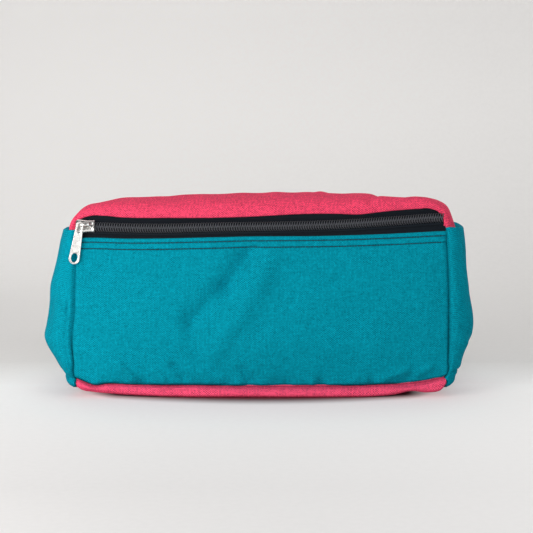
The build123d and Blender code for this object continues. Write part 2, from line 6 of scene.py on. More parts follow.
import bpy
import numpy as np
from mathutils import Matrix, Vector


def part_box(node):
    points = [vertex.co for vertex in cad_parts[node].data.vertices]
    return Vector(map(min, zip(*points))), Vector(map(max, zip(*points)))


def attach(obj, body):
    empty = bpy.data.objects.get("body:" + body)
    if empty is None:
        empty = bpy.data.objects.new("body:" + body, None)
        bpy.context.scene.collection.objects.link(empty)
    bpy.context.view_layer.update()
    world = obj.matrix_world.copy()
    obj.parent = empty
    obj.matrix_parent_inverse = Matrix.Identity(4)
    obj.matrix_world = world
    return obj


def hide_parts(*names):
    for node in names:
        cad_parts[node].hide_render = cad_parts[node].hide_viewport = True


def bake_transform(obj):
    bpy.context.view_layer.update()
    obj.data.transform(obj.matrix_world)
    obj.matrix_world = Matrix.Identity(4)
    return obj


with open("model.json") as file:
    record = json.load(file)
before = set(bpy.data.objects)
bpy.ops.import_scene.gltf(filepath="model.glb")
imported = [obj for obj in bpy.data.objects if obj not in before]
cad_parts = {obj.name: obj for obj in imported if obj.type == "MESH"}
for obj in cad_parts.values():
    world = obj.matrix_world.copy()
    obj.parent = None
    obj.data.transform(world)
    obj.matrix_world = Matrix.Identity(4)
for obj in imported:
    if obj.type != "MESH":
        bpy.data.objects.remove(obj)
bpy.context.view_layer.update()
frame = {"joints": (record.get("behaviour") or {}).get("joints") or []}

# A waist pack in teal and pink cloth with a black coil zip.
# Every size below is in millimetres and every colour is linear RGB. Meshes are written in metres.
# +X is right as seen from the front, +Y runs back to the wearer, +Z is up.

MM = 0.001
PACK = "pack"


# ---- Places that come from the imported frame


def corners(*nodes):
    """Lowest and highest corner of one or more CAD nodes, in millimetres."""
    boxes = [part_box(node) for node in nodes]
    low = np.min([np.array(box[0]) for box in boxes], axis=0) / MM
    high = np.max([np.array(box[1]) for box in boxes], axis=0) / MM
    return low, high


joints = {joint["name"]: joint for joint in frame["joints"]}
HALF_WIDTH = corners("front_panel")[1][0]
HALF_DEPTH = corners("back_panel")[1][1]
HINGE = np.array(joints["mouth_open"]["pos_m"]) / MM
CROWN_HEIGHT = HINGE[2]

# The zip's plane: along the coil, up the tape and out towards the front.
LEAN = math.radians(20)
ALONG = np.array(joints["zip_slide"]["axis"], float)
UP = np.array([0, math.sin(LEAN), math.cos(LEAN)])
OUT = np.cross(ALONG, UP)
PULL_PIVOT = np.array(joints["pull_swing"]["pos_m"]) / MM
LEG_PLACE = 5.2             # the pull's leg, along the zip from the left seam
PLATE_TOP = 4.0             # top of the slider's plate, out from the tape's middle
PULL_OUT = PLATE_TOP + 2.5  # the pull's plane at its leg
ZIP_ORIGIN = PULL_PIVOT - LEG_PLACE * ALONG - PULL_OUT * OUT
ZIP_LENGTH = 2 * HALF_WIDTH / ALONG[0]
TAPE_FACE = 0.3             # half the tape's thickness
COIL_TOP = 2.7


# ---- Small tools for shapes


def smooth_line(*knots):
    """A smooth function through a few (place, value) knots."""
    places, values = np.array(knots, float).T
    slopes = np.gradient(values, places)

    def value(at):
        at = np.clip(at, places[0], places[-1])
        i = np.clip(np.searchsorted(places, at) - 1, 0, len(places) - 2)
        gap = places[i + 1] - places[i]
        t = (at - places[i]) / gap
        rise = values[i] * (1 + 2 * t) * (1 - t) ** 2 + values[i + 1] * t * t * (3 - 2 * t)
        return rise + gap * t * (1 - t) * (slopes[i] * (1 - t) - slopes[i + 1] * t)

    return value


def ease(t):
    """0 below 0, 1 above 1, and smooth between."""
    t = np.clip(t, 0, 1)
    return t * t * (3 - 2 * t)


def bell(t):
    """1 at 0, falling off on both sides."""
    return np.exp(-(t**2))


def unit(vectors):
    return vectors / np.maximum(np.linalg.norm(vectors, axis=-1, keepdims=True), 1e-9)


def joined(*axes):
    """Arrays of coordinates as one array of points."""
    return np.stack(np.broadcast_arrays(*axes), axis=-1)


def lengths_along(line):
    """Distance of each point from the first, along the line."""
    return np.concatenate([[0], np.cumsum(np.linalg.norm(np.diff(line, axis=0), axis=1))])


def ripple(a, b, size, seed):
    """Smooth random relief between -1 and 1, with features of one size."""
    lattice = np.random.default_rng(seed).uniform(-1, 1, (64, 64))
    a, b = np.asarray(a) / size + 20, np.asarray(b) / size + 20
    i, j = np.floor(a).astype(int), np.floor(b).astype(int)
    s, t = ease(a - i), ease(b - j)
    i0, i1, j0, j1 = i % 64, (i + 1) % 64, j % 64, (j + 1) % 64
    near = lattice[i0, j0] * (1 - s) + lattice[i1, j0] * s
    far = lattice[i0, j1] * (1 - s) + lattice[i1, j1] * s
    return near * (1 - t) + far * t


def crease(a, b, start, end, width, depth, sharp=1.0):
    """A fold along a line, fading across its width and at both ends. sharp narrows one side."""
    run = np.array(end, float) - start
    length = np.hypot(*run)
    along = ((a - start[0]) * run[0] + (b - start[1]) * run[1]) / length**2
    across = ((a - start[0]) * run[1] - (b - start[1]) * run[0]) / length
    reach = np.where(across > 0, width, width * sharp)
    return depth * bell(across / reach) * ease(along * 3 + 0.5) * ease((1 - along) * 3 + 0.5)


def folded(relief, a, b, *folds):
    """Relief with folds added, each as (start, end, width, depth, and sharp where it has one)."""
    for fold in folds:
        relief = relief + crease(a, b, *fold)
    return relief


def spaced(start, end, step, fine, reach):
    """Places from start to end, closer together near both ends."""
    edge = np.arange(0, reach, fine)
    count = max(2, int((end - start - 2 * reach) / step) + 1)
    middle = np.linspace(start + reach, end - reach, count)
    return np.concatenate([start + edge, middle, end - edge[::-1]])


def chained(ends, counts):
    """Even spacings one after another, with counts places from each end to the next."""
    runs = [np.linspace(*run) for run in zip(ends, ends[1:], counts)]
    return np.concatenate([runs[0]] + [run[1:] for run in runs[1:]])


def along_curve(knots, count, power=0.5):
    """count points on a smooth curve through knots, spaced by the knots' own distances."""
    knots = np.array(knots, float)
    steps = np.linalg.norm(np.diff(knots, axis=0), axis=1) ** power
    places = np.concatenate([[0], np.cumsum(steps)])
    at = np.linspace(0, places[-1], count)
    return np.stack([smooth_line(*zip(places, axis))(at) for axis in knots.T], axis=-1)


def grid_normals(points):
    return unit(np.cross(np.gradient(points, axis=1), np.gradient(points, axis=0)))


def grid_faces(rows, columns, wrap=False):
    r = np.arange(rows - 1)[:, None]
    c = np.arange(columns if wrap else columns - 1)[None, :]
    after = (c + 1) % columns
    corners_of = [r * columns + c, r * columns + after, (r + 1) * columns + after, (r + 1) * columns + c]
    return np.stack(np.broadcast_arrays(*corners_of), axis=-1).reshape(-1, 4)


def tube_faces(rows, columns, wrap=True):
    """Faces of a tube of rings of points, closed at both ends."""
    last = columns * (rows - 1)
    faces = grid_faces(rows, columns, wrap).tolist()
    return faces + [list(range(columns))[::-1], list(range(last, last + columns))]


def measured_uv(points):
    """A grid's own lengths as coordinates, in millimetres: along its columns, then along its rows."""
    across = np.linalg.norm(np.diff(points, axis=1), axis=-1)
    down = np.linalg.norm(np.diff(points, axis=0), axis=-1)
    u = np.concatenate([np.zeros((points.shape[0], 1)), np.cumsum(across, axis=1)], axis=1)
    v = np.concatenate([np.zeros((1, points.shape[1])), np.cumsum(down, axis=0)], axis=0)
    u = u - u[:, -1:] / 2
    return joined(u, v)


def mesh_piece(name, points, faces, materials, uv=None, face_material=None, sharp=50, shade=None):
    """A mesh object from points in millimetres. The shade values, 0 to 1, are painted shade: how much
    the cloth's colour is darkened at each point.
    """
    mesh = bpy.data.meshes.new(name)
    mesh.from_pydata((np.asarray(points) * MM).tolist(), [], [list(map(int, f)) for f in faces])
    for material in materials:
        mesh.materials.append(material)
    if uv is not None:
        layer = mesh.uv_layers.new(name="cloth")
        loops = np.zeros(len(mesh.loops), int)
        mesh.loops.foreach_get("vertex_index", loops)
        layer.uv.foreach_set("vector", np.asarray(uv, np.float32)[loops].ravel())
    if shade is not None:
        darkness = mesh.attributes.new("shade", "FLOAT", "POINT").data
        darkness.foreach_set("value", np.asarray(shade, np.float32))
    if face_material is not None:
        mesh.polygons.foreach_set("material_index", np.asarray(face_material, np.int32))
    mesh.polygons.foreach_set("use_smooth", np.ones(len(mesh.polygons), bool))
    mesh.set_sharp_from_angle(angle=math.radians(sharp))
    piece = bpy.data.objects.new(name, mesh)
    bpy.context.scene.collection.objects.link(piece)
    return piece


def cloth_piece(name, points, thickness, outer, inner=None, uv=None, flip=False, shade=None):
    """A sheet of cloth with real thickness: an outer face, an inner face and the edges between."""
    rows, columns = points.shape[:2]
    uv = measured_uv(points) if uv is None else uv
    normals = grid_normals(points) * (-1 if flip else 1)
    under = points - normals * thickness
    count = rows * columns
    top = grid_faces(rows, columns)
    bottom = top[:, ::-1] + count
    index = np.arange(count).reshape(rows, columns)
    edges = index[0], index[-1][::-1], index[::-1, 0], index[:, -1]
    rim = np.concatenate([joined(e[1:], e[:-1], e[:-1] + count, e[1:] + count) for e in edges])
    faces = np.concatenate([top, bottom, rim])
    if not flip:
        faces = faces[:, ::-1]
    shades = np.concatenate([np.zeros(len(top)), np.ones(len(bottom)), np.zeros(len(rim))]).astype(int)
    flat = np.concatenate([points.reshape(-1, 3), under.reshape(-1, 3)])
    uvs = np.concatenate([uv.reshape(-1, 2), uv.reshape(-1, 2)])
    materials = [outer, inner or outer]
    if shade is not None:
        shade = np.tile(np.ravel(shade), 2)
    return mesh_piece(name, flat, faces, materials, uvs, shades, shade=shade)


def tube(path, radius, sides=6, up=(0, 0, 1)):
    """Points and faces of a round tube along a path, closed at both ends."""
    path = np.asarray(path, float)
    tangent = unit(np.gradient(path, axis=0))
    side = unit(np.cross(tangent, up))
    top = np.cross(side, tangent)
    angle = np.linspace(0, 2 * math.pi, sides, endpoint=False)
    radius = np.broadcast_to(np.asarray(radius, float), len(path))[:, None, None]
    ring = side[:, None] * np.cos(angle)[None, :, None] + top[:, None] * np.sin(angle)[None, :, None]
    return (path[:, None] + ring * radius).reshape(-1, 3), tube_faces(len(path), sides)


def together(parts):
    """Several (points, faces) pairs as one."""
    points, faces, start = [], [], 0
    for part_points, part_faces in parts:
        points.append(part_points)
        faces += [[int(i) + start for i in face] for face in part_faces]
        start += len(part_points)
    return np.concatenate(points), faces


def eased_edges(piece, radius, segments, angle):
    """Rounds the edges that turn by more than an angle in degrees."""
    bevel = piece.modifiers.new("eased_edges", "BEVEL")
    bevel.width = radius * MM
    bevel.segments = segments
    bevel.limit_method = "ANGLE"
    bevel.angle_limit = math.radians(angle)


def sided(name, side, below="left", above="right"):
    """A piece's name with its side in it."""
    return f"{name}_{below if side < 0 else above}"


def settle(piece, body, slot, *nodes):
    """Says what a finished piece rides on and the CAD nodes that it stands for. Its material slot is not
    used.
    """
    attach(piece, body)
    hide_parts(*nodes)


def opens_with_lid(piece, slot, *nodes):
    """Cloth of the mouth: bakes its placement into its mesh and hides the CAD nodes that it stands for.
    """
    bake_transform(piece)
    x = np.zeros(len(piece.data.vertices) * 3)
    piece.data.vertices.foreach_get("co", x)
    x = np.abs(x.reshape(-1, 3)[:, 0]) / MM
    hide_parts(*nodes)


# ---- Materials


class Graph:
    """A new material's nodes, each made and linked in one call."""

    def __init__(self, name):
        self.material = bpy.data.materials.new(name)
        self.material.use_nodes = True
        self.tree = self.material.node_tree
        self.shader = self.tree.nodes["Principled BSDF"]

    def put(self, socket, value):
        if isinstance(value, bpy.types.NodeSocket):
            self.tree.links.new(value, socket)
        else:
            socket.default_value = value

    def node(self, kind, inputs=None, **settings):
        made = self.tree.nodes.new("ShaderNode" + kind)
        for name, value in settings.items():
            setattr(made, name, value)
        for name, value in (inputs or {}).items():
            self.put(made.inputs[name], value)
        return made

    def math(self, operation, a, b=0.0, c=0.0):
        return self.node("Math", {0: a, 1: b, 2: c}, operation=operation).outputs[0]

    add = partialmethod(math, "ADD")
    sub = partialmethod(math, "SUBTRACT")
    mul = partialmethod(math, "MULTIPLY")
    div = partialmethod(math, "DIVIDE")
    mul_add = partialmethod(math, "MULTIPLY_ADD")    # a * b + c
    maximum = partialmethod(math, "MAXIMUM")
    sine = partialmethod(math, "SINE")
    floor = partialmethod(math, "FLOOR")
    fract = partialmethod(math, "FRACT")
    absolute = partialmethod(math, "ABSOLUTE")

    def cloth_place(self):
        """The two coordinates of the cloth, in millimetres."""
        place = self.node("UVMap", uv_map="cloth").outputs[0]
        return self.node("SeparateXYZ", {0: place}).outputs[:2]

    def noise(self, vector, scale, detail=3.0, roughness=0.5):
        inputs = {"Vector": vector, "Scale": scale, "Detail": detail, "Roughness": roughness}
        return self.node("TexNoise", inputs).outputs[0]

    def at(self, x, y, z=0.0):
        return self.node("CombineXYZ", {0: x, 1: y, 2: z}).outputs[0]

    def remap(self, value, low, high, to_low, to_high):
        return self.node("MapRange", {0: value, 1: low, 2: high, 3: to_low, 4: to_high}).outputs[0]

    def product(self, a, b):
        return self.node("VectorMath", {0: a, 1: b}, operation="MULTIPLY").outputs[0]

    def tint(self, colour, factor):
        """A colour made lighter or darker by a factor."""
        return self.product(colour[:3], self.at(factor, factor, factor))

    def colour(self, value):
        self.put(self.shader.inputs["Base Color"], value)

    def bump(self, height, distance, strength=1.0):
        made = self.node("Bump", {"Height": height, "Distance": distance * MM, "Strength": strength})
        self.put(self.shader.inputs["Normal"], made.outputs[0])

    def finish(self, roughness=None, specular=None, metallic=None, sheen=None):
        sockets = "Roughness", "Specular IOR Level", "Metallic", "Sheen Weight"
        for name, value in zip(sockets, (roughness, specular, metallic, sheen)):
            if value is not None:
                self.put(self.shader.inputs[name], value)
        return self.material


WARP_SHARE = 1.33    # width of a warp thread, as a share of a weft thread's


def woven(name, colour, thread, relief, contrast, slub, roughness=0.9, specular=0.03, grain=0.25):
    """Plain-woven cloth: crossing threads of uneven thickness, with a soft drift of colour."""
    g = Graph(name)
    u, v = g.cloth_place()
    wander = g.noise(g.at(u, v), 0.11, 2.0)
    shift = g.mul(g.sub(wander, 0.5), 0.8)
    warp = g.div(g.add(u, shift), thread * WARP_SHARE)
    weft = g.div(g.add(v, shift), thread)
    round_warp = g.sine(g.mul(g.fract(warp), math.pi))
    round_weft = g.sine(g.mul(g.fract(weft), math.pi))
    count = g.add(g.floor(warp), g.floor(weft))
    over = g.math("FLOORED_MODULO", count, 2.0)
    warp_top = g.mul(round_warp, g.mul_add(round_weft, 0.5, 0.5))
    weft_top = g.mul(round_weft, g.mul_add(round_warp, 0.5, 0.5))
    height = g.node("Mix", {0: over, 2: warp_top, 3: weft_top}).outputs[0]
    slub_warp = g.noise(g.at(g.mul(u, 0.75), g.mul(v, 0.1)), 1.0, 3.0, 0.7)
    slub_weft = g.noise(g.at(g.mul(u, 0.1), g.mul(v, 0.75), 7.0), 1.0, 3.0, 0.7)
    uneven = g.add(g.sub(slub_warp, 0.5), g.sub(slub_weft, 0.5))
    fuzz = g.sub(g.noise(g.at(u, v), 0.9, 3.0, 0.7), 0.5)
    drift = g.sub(g.noise(g.at(u, v), 0.035, 3.0), 0.5)
    # Painted highlight and shade: the crowns of the threads are painted lighter and the dips between
    # them darker.
    light = g.mul_add(g.sub(height, 0.55), contrast, 1.0)
    light = g.mul_add(uneven, slub, light)
    light = g.mul_add(fuzz, slub * 0.8, light)
    light = g.mul_add(drift, 0.06, light)
    cell = g.at(g.floor(warp), g.floor(weft))
    fibre = g.sub(g.node("TexWhiteNoise", {"Vector": cell}).outputs[0], 0.5)
    light = g.mul_add(fibre, grain, light)
    light = g.mul_add(g.sub(over, 0.5), grain * 1.4, light)
    # The shade attribute is painted shade: it darkens the cloth along seams and under stitches.
    shade = g.node("Attribute", attribute_name="shade").outputs["Fac"]
    light = g.mul(light, g.sub(1.0, shade))
    g.colour(g.tint(colour, light))
    g.bump(g.mul_add(fuzz, 0.35, height), relief, 0.7)
    return g.finish(roughness, specular)


def knitted_tape(name, colour, rib, relief):
    """Zip tape: fine cords along its length, crossed by a faint herringbone."""
    g = Graph(name)
    u, v = g.cloth_place()
    cords = g.sine(g.mul(v, 2 * math.pi / rib))
    slant = g.add(g.mul(u, 2 * math.pi / 0.9), g.mul(g.absolute(v), 3.0))
    cross = g.sine(slant)
    height = g.mul_add(cross, 0.35, cords)
    grain = g.noise(g.at(u, v), 1.4, 3.0)
    # Painted shade: the raised cords are painted lighter and the dips between them darker.
    light = g.mul_add(height, 0.16, g.remap(grain, 0.25, 0.75, 0.72, 1.28))
    g.colour(g.tint(colour, light))
    g.bump(height, relief, 0.8)
    return g.finish(0.85, 0.1)


def ribbed_webbing(name, colour, rib, relief):
    """Heavy webbing: weft ribs across the band, broken by its warp cords."""
    g = Graph(name)
    u, v = g.cloth_place()
    row = g.fract(g.div(v, 2.2))
    offset = g.mul(g.math("GREATER_THAN", row, 0.5), rib / 2)
    ribs = g.absolute(g.sine(g.mul(g.add(u, offset), math.pi / rib)))
    cords = g.absolute(g.sine(g.mul(v, math.pi / 1.1)))
    height = g.mul(ribs, g.mul_add(cords, 0.6, 0.4))
    grain = g.noise(g.at(u, v), 0.9, 3.0)
    # Painted shade: the ribs are painted lighter and the hollows between them darker.
    light = g.mul_add(height, 0.7, g.remap(grain, 0.2, 0.8, 0.4, 0.8))
    g.colour(g.tint(colour, light))
    g.bump(height, relief, 1.0)
    return g.finish(0.75, 0.3)


def spacer_mesh(name, colour, pitch, relief):
    """Open spacer mesh: a knitted face with rows of small holes, painted dark as shade."""
    g = Graph(name)
    u, v = g.cloth_place()
    row = g.div(v, pitch * 0.87)
    odd = g.math("FLOORED_MODULO", g.floor(row), 2.0)
    column = g.mul_add(odd, 0.5, g.div(u, pitch))
    du = g.sub(g.fract(column), 0.5)
    dv = g.mul(g.sub(g.fract(row), 0.5), 0.87)
    away = g.math("SQRT", g.add(g.mul(du, du), g.mul(dv, dv)))
    solid = g.remap(away, 0.2, 0.36, 0.0, 1.0)
    grain = g.noise(g.at(u, v), 1.6, 3.0)
    # Painted shade: the holes are painted dark, as shade inside them.
    light = g.mul_add(solid, 0.85, g.remap(grain, 0.2, 0.8, 0.12, 0.42))
    g.colour(g.tint(colour, light))
    g.bump(solid, relief, 0.9)
    return g.finish(0.85, 0.2, sheen=0.1)


def object_noise(g, scale, detail=3.0, stretch=(1, 1, 1)):
    place = g.node("TexCoord").outputs["Object"]
    moved = g.node("Mapping", {"Vector": place, "Scale": stretch}).outputs[0]
    return g.noise(moved, scale, detail)


def plated_metal(name, colour, roughness, relief):
    """Tumbled, plated metal: a soft uneven sheen with fine scratches."""
    g = Graph(name)
    cloudy = object_noise(g, 420.0, 4.0)
    fine = object_noise(g, 2600.0, 2.0, (1, 1, 0.25))
    g.colour(g.tint(colour, g.remap(cloudy, 0.3, 0.7, 0.9, 1.05)))
    g.put(g.shader.inputs["Roughness"], g.remap(cloudy, 0.3, 0.7, roughness - 0.07, roughness + 0.09))
    g.bump(g.mul_add(fine, 0.4, cloudy), relief, 0.5)
    return g.finish(metallic=1.0)


def moulded_plastic(name, colour, roughness, relief):
    g = Graph(name)
    grain = object_noise(g, 3500.0, 3.0)
    cloudy = object_noise(g, 90.0, 3.0)
    g.colour(g.tint(colour, g.remap(cloudy, 0.3, 0.7, 0.85, 1.15)))
    g.put(g.shader.inputs["Roughness"], g.remap(grain, 0.3, 0.7, roughness - 0.05, roughness + 0.08))
    g.bump(grain, relief, 0.4)
    return g.finish(specular=0.5)


def coil_filament(name, colour):
    """Polished nylon with painted highlight and shade: pale along the top of each turn, where it faces
    out, and nearly black down between the turns.
    """
    g = Graph(name)
    turned = g.node("TexCoord").outputs["Normal"]
    facing = g.node("VectorMath", {0: turned, 1: tuple(OUT)}, operation="DOT_PRODUCT").outputs["Value"]
    # Painted highlight and shade: full colour where the surface faces out of the tape, near black where
    # it turns away.
    g.colour(g.tint(colour, g.remap(facing, 0.5, 0.97, 0.06, 1.0)))
    return g.finish(0.32, 0.25)


PLY_TURNS = 9000.0    # how fast the plies turn, along x and along z


def spun_thread(name, colour):
    """Sewing thread: plies that turn round the stitch."""
    g = Graph(name)
    x, _, z = g.node("SeparateXYZ", {0: g.node("TexCoord").outputs["Object"]}).outputs
    turn = g.add(g.mul(x, PLY_TURNS), g.mul(z, PLY_TURNS))
    ply = g.sine(turn)
    # Painted shade: the plies' crowns are painted lighter and the grooves between them darker.
    g.colour(g.tint(colour, g.mul_add(ply, 0.2, 1.0)))
    g.bump(ply, 0.05, 0.6)
    return g.finish(0.6, 0.3)


def foam_skin(name, colour):
    g = Graph(name)
    cells = object_noise(g, 1500.0, 2.0)
    g.colour(g.tint(colour, g.remap(cells, 0.3, 0.7, 0.8, 1.1)))
    g.bump(cells, 0.15, 0.6)
    return g.finish(0.95, 0.2)


TEAL = (0.0012, 0.283, 0.382)
PINK = (0.87, 0.067, 0.148)
# The base's pink is the top's pink painted lighter: painted light, standing in for light bounced up onto
# the base from the floor.
PINK_BASE_PAINTED_LIGHTER = (0.95, 0.088, 0.19)
teal_cloth = woven("teal_cloth", TEAL, 0.62, 0.09, 0.6, 0.55, grain=0.34)
pink_cloth = woven("pink_cloth", PINK, 0.62, 0.08, 0.5, 0.7, specular=0.06, grain=0.36)
pink_base_painted_light_cloth = woven("pink_base_painted_light_cloth", PINK_BASE_PAINTED_LIGHTER, 0.62, 0.08, 0.5, 0.7, specular=0.06, grain=0.36)
grey_lining = woven("grey_lining", (0.022, 0.025, 0.028), 0.4, 0.04, 0.2, 0.08, 0.6, 0.4, grain=0.0)
zip_tape = knitted_tape("zip_tape", (0.0095, 0.0135, 0.0185), 0.75, 0.12)
black_webbing = ribbed_webbing("black_webbing", (0.016, 0.0165, 0.018), 1.5, 0.35)
black_mesh = spacer_mesh("black_mesh", (0.03, 0.032, 0.035), 2.6, 0.5)
nylon_coil = coil_filament("nylon_coil", (0.155, 0.163, 0.185))
nickel = plated_metal("nickel", (0.74, 0.725, 0.7), 0.27, 0.012)
black_plastic = moulded_plastic("black_plastic", (0.012, 0.0125, 0.0135), 0.42, 0.02)
teal_thread = spun_thread("teal_thread", (0.0005, 0.025, 0.037))
black_thread = spun_thread("black_thread", (0.005, 0.005, 0.006))
foam = foam_skin("foam", (0.3, 0.3, 0.28))


# ---- The lines that panels share

CLOTH = 0.55         # thickness of the pack cloth
SEAM_TUCK = 2.1      # how far a seam pulls the cloth in
SEAM_REACH = 1.25    # how far from the seam it does so
SEAM_SHADE_REACH = 0.75     # how far from a seam the painted shade reaches
SEAM_PAINTED_SHADE = 0.85    # how dark the painted shade is along the base's seam
FOLD_RADIUS = 0.8    # a folded edge

# How dark the painted shade down each front seam is, at each height
left_seam_painted_shade = smooth_line((0, 0.95), (30, 0.92), (39, 0.5), (55, 0.25), (104, 0.3))
right_seam_painted_shade = smooth_line((0, 0.98), (20, 0.95), (36, 0.85), (50, 0.6), (70, 0.42), (104, 0.42))

# Front seams: distance from the middle at each height
left_seam = smooth_line(
    (2, 110), (5.5, 115), (8, 116.5), (11, 117.5), (13, 118.4), (16, 118.8), (20, 118.4), (26, 118.8),
    (32, 119.2), (42, 118.7), (50, 117.6), (60, 117), (104, 115.8),
)
right_seam = smooth_line(
    (2, 110), (5, 114.4), (8, 116.4), (12.5, 116.6), (14.5, 117.9), (17, 118.5), (22, 118.2),
    (30, 118.1), (60, 117.8), (85, 116.9), (100, 115.9), (106.5, 115.2),
)

# Height of the seam between the front panel and the base, and of the base's lower edge
base_seam = smooth_line(
    (-115, 11.2), (-111, 9.4), (-105.5, 7.3), (-98, 8.2), (-82, 7.7), (-38, 7.1), (-7, 6.4), (24, 6.4),
    (50, 6.7), (75, 7.7), (94, 8.3), (106, 9.9), (114.5, 12.0), (118, 12.6),
)
base_edge = smooth_line(
    (-117, 6.9), (-114, 4.9), (-105.7, 3.1), (-96.5, 2.2), (-81, 1.3), (-57, 0.5), (0, 0.1), (50, 0.2),
    (75, 0.9), (86, 2.2), (92, 3.7), (97, 3.9), (103, 3.1), (107, 3.2), (110.5, 3.5), (113, 4.4),
    (114.7, 5.9), (116.4, 8.6),
)

# The zip line dips between its ends. The hem is the front panel's edge, up the tape from the coil.
zip_dip = smooth_line(
    (0, 0), (14, -0.2), (30, -1.1), (52, -2.1), (85, -2.3), (172, -2.5), (205, -1.1), (222, -0.2),
    (236, 0),
)
hem_line = smooth_line(
    (-117, -6.3), (-103, -6.6), (-88, -7.5), (-66, -8.1), (-36, -8.3), (-6, -8.4), (24, -9),
    (54, -9.3), (87, -8.9), (112, -8.3), (118, -8.2),
)


def straight_zip(along, up, out):
    """Points given along the zip's straight line, up its tape and out of it."""
    along, up, out = np.broadcast_arrays(np.asarray(along, float), up, out)
    return ZIP_ORIGIN + along[..., None] * ALONG + up[..., None] * UP + out[..., None] * OUT


def in_zip(along, up, out):
    """The same, following the zip's dip."""
    return straight_zip(along, up + zip_dip(along), out)


def on_tape(x, up):
    """A point of the undipped zip plane from its x."""
    along = (np.asarray(x, float) + HALF_WIDTH) / ALONG[0]
    return ZIP_ORIGIN + along[..., None] * ALONG + np.asarray(up, float)[..., None] * UP


def hem_height(x):
    return on_tape(x, hem_line(x))[..., 2]


# ---- Front panel

# How the front swells: as a share from seam to seam, and in millimetres from base to hem
front_across = smooth_line(
    (0, 0), (0.02, 0.35), (0.08, 0.75), (0.25, 1), (0.75, 1), (0.93, 0.7), (0.98, 0.3), (1, 0),
)
front_upright = smooth_line(
    (0, 0), (0.05, 0.9), (0.2, 2.3), (0.45, 3.0), (0.75, 2.0), (0.92, 0.7), (1, 0.25),
)
FRONT_HALF = 116.8          # half the width that the base seam and the hem are read over
STITCH_ROWS = (2.8, 6.8)    # below the panel's upper edge
STITCH_ENDS = (-115.4, 114.9)
STITCH_DIP = 0.6
HEM_ROWS = (    # the mesh's rows below the hem, closer at the stitching
    8.9, 8.3, 7.8, 7.4, 7.15, 6.95, 6.8, 6.65, 6.45, 6.2, 5.8, 5.2, 4.6, 4.0, 3.5, 3.15, 2.95, 2.8,
    2.65, 2.45, 2.2, 1.8, 1.3, 0.8,
)
STITCH_PITCH = 3.0


FRONT_FOLDS = (
    ((-3, 97), (-23, 66), 6.0, -4.4, 0.5), ((-20, 72), (-46, 44), 7.5, -3.9, 0.6),
    ((-45, 52), (-36, 18), 6.0, -1.5, 0.7), ((9, 94), (-14, 50), 8, 2.8), ((-16, 52), (-34, 22), 7, 1.9),
    ((20, 60), (44, 28), 14, 1.3), ((-100, 84), (-74, 60), 12, -0.9),
)
BASE_PLEATS = (
    ((-91, 24), (-79, 11), 2.6), ((-69, 19), (-60, 11), 2.4), ((-56, 22), (-47, 11), -2.3),
    ((-38, 18), (-31, 10), 2.0), ((-12, 20), (-6, 10), -1.8), ((60, 15), (68, 10), 1.8),
    ((76, 12), (93, 18), 1.9), ((96, 14), (108, 20), 1.6),
)


def front_relief(x, z):
    """Folds of the front panel, outwards."""
    relief = 1.3 * ripple(x, z, 34, 3) + 0.55 * ripple(x, z, 15, 4)
    relief = folded(relief, x, z, *FRONT_FOLDS)
    above = np.clip(z - base_seam(x), 0, None)
    fade = bell(above / 9.0) * ease(above / 1.5)
    gathers = 1.3 * ripple(x - 0.5 * above, above * 0.25, 7.5, 8)
    gathers = gathers + 0.8 * ripple(x + 0.4 * above, above * 0.2, 4.2, 9)
    pleats = [(start, end, 2.9, depth, 0.6) for start, end, depth in BASE_PLEATS]
    return folded(relief + fade * gathers, x, z, *pleats)


def front_out(x, z):
    """How far the front panel stands out of its plane."""
    low, high = base_seam(x), hem_height(x) - FOLD_RADIUS
    v = (z - low) / (high - low)
    width = left_seam(z) + right_seam(z)
    from_side = np.minimum(x + left_seam(z), right_seam(z) - x)
    held = ease(from_side / 10) * ease((1 - v) * 7)
    out = front_across((x + left_seam(z)) / width) * front_upright(v)
    out = out + front_relief(x, z) * (0.12 + 0.88 * held)
    from_hem = hem_height(x) - z
    out = out - SEAM_TUCK * bell(from_side / SEAM_REACH) * (1 - 0.85 * ease((6 - from_hem) / 4))
    out = out - SEAM_TUCK * bell((z - low) / SEAM_REACH)
    for row in STITCH_ROWS:
        grip = 0.75 + 0.25 * np.cos(2 * math.pi * x / STITCH_PITCH)
        out = out - STITCH_DIP * grip * bell((from_hem - row) / 0.45)
    return out


def front_painted_shade(x, z):
    """Painted shade: dark lines down in the seams and under the stitches, where the cloth dips."""
    from_side = np.minimum(x + left_seam(z), right_seam(z) - x)
    shade = np.where(x < 0, left_seam_painted_shade(z), right_seam_painted_shade(z)) * bell(from_side / SEAM_SHADE_REACH)
    shade = np.maximum(shade, SEAM_PAINTED_SHADE * bell((z - base_seam(x)) / SEAM_SHADE_REACH))
    for row in STITCH_ROWS:
        shade = np.maximum(shade, 0.6 * bell((hem_height(x) - z - row) / 0.38))
    return shade


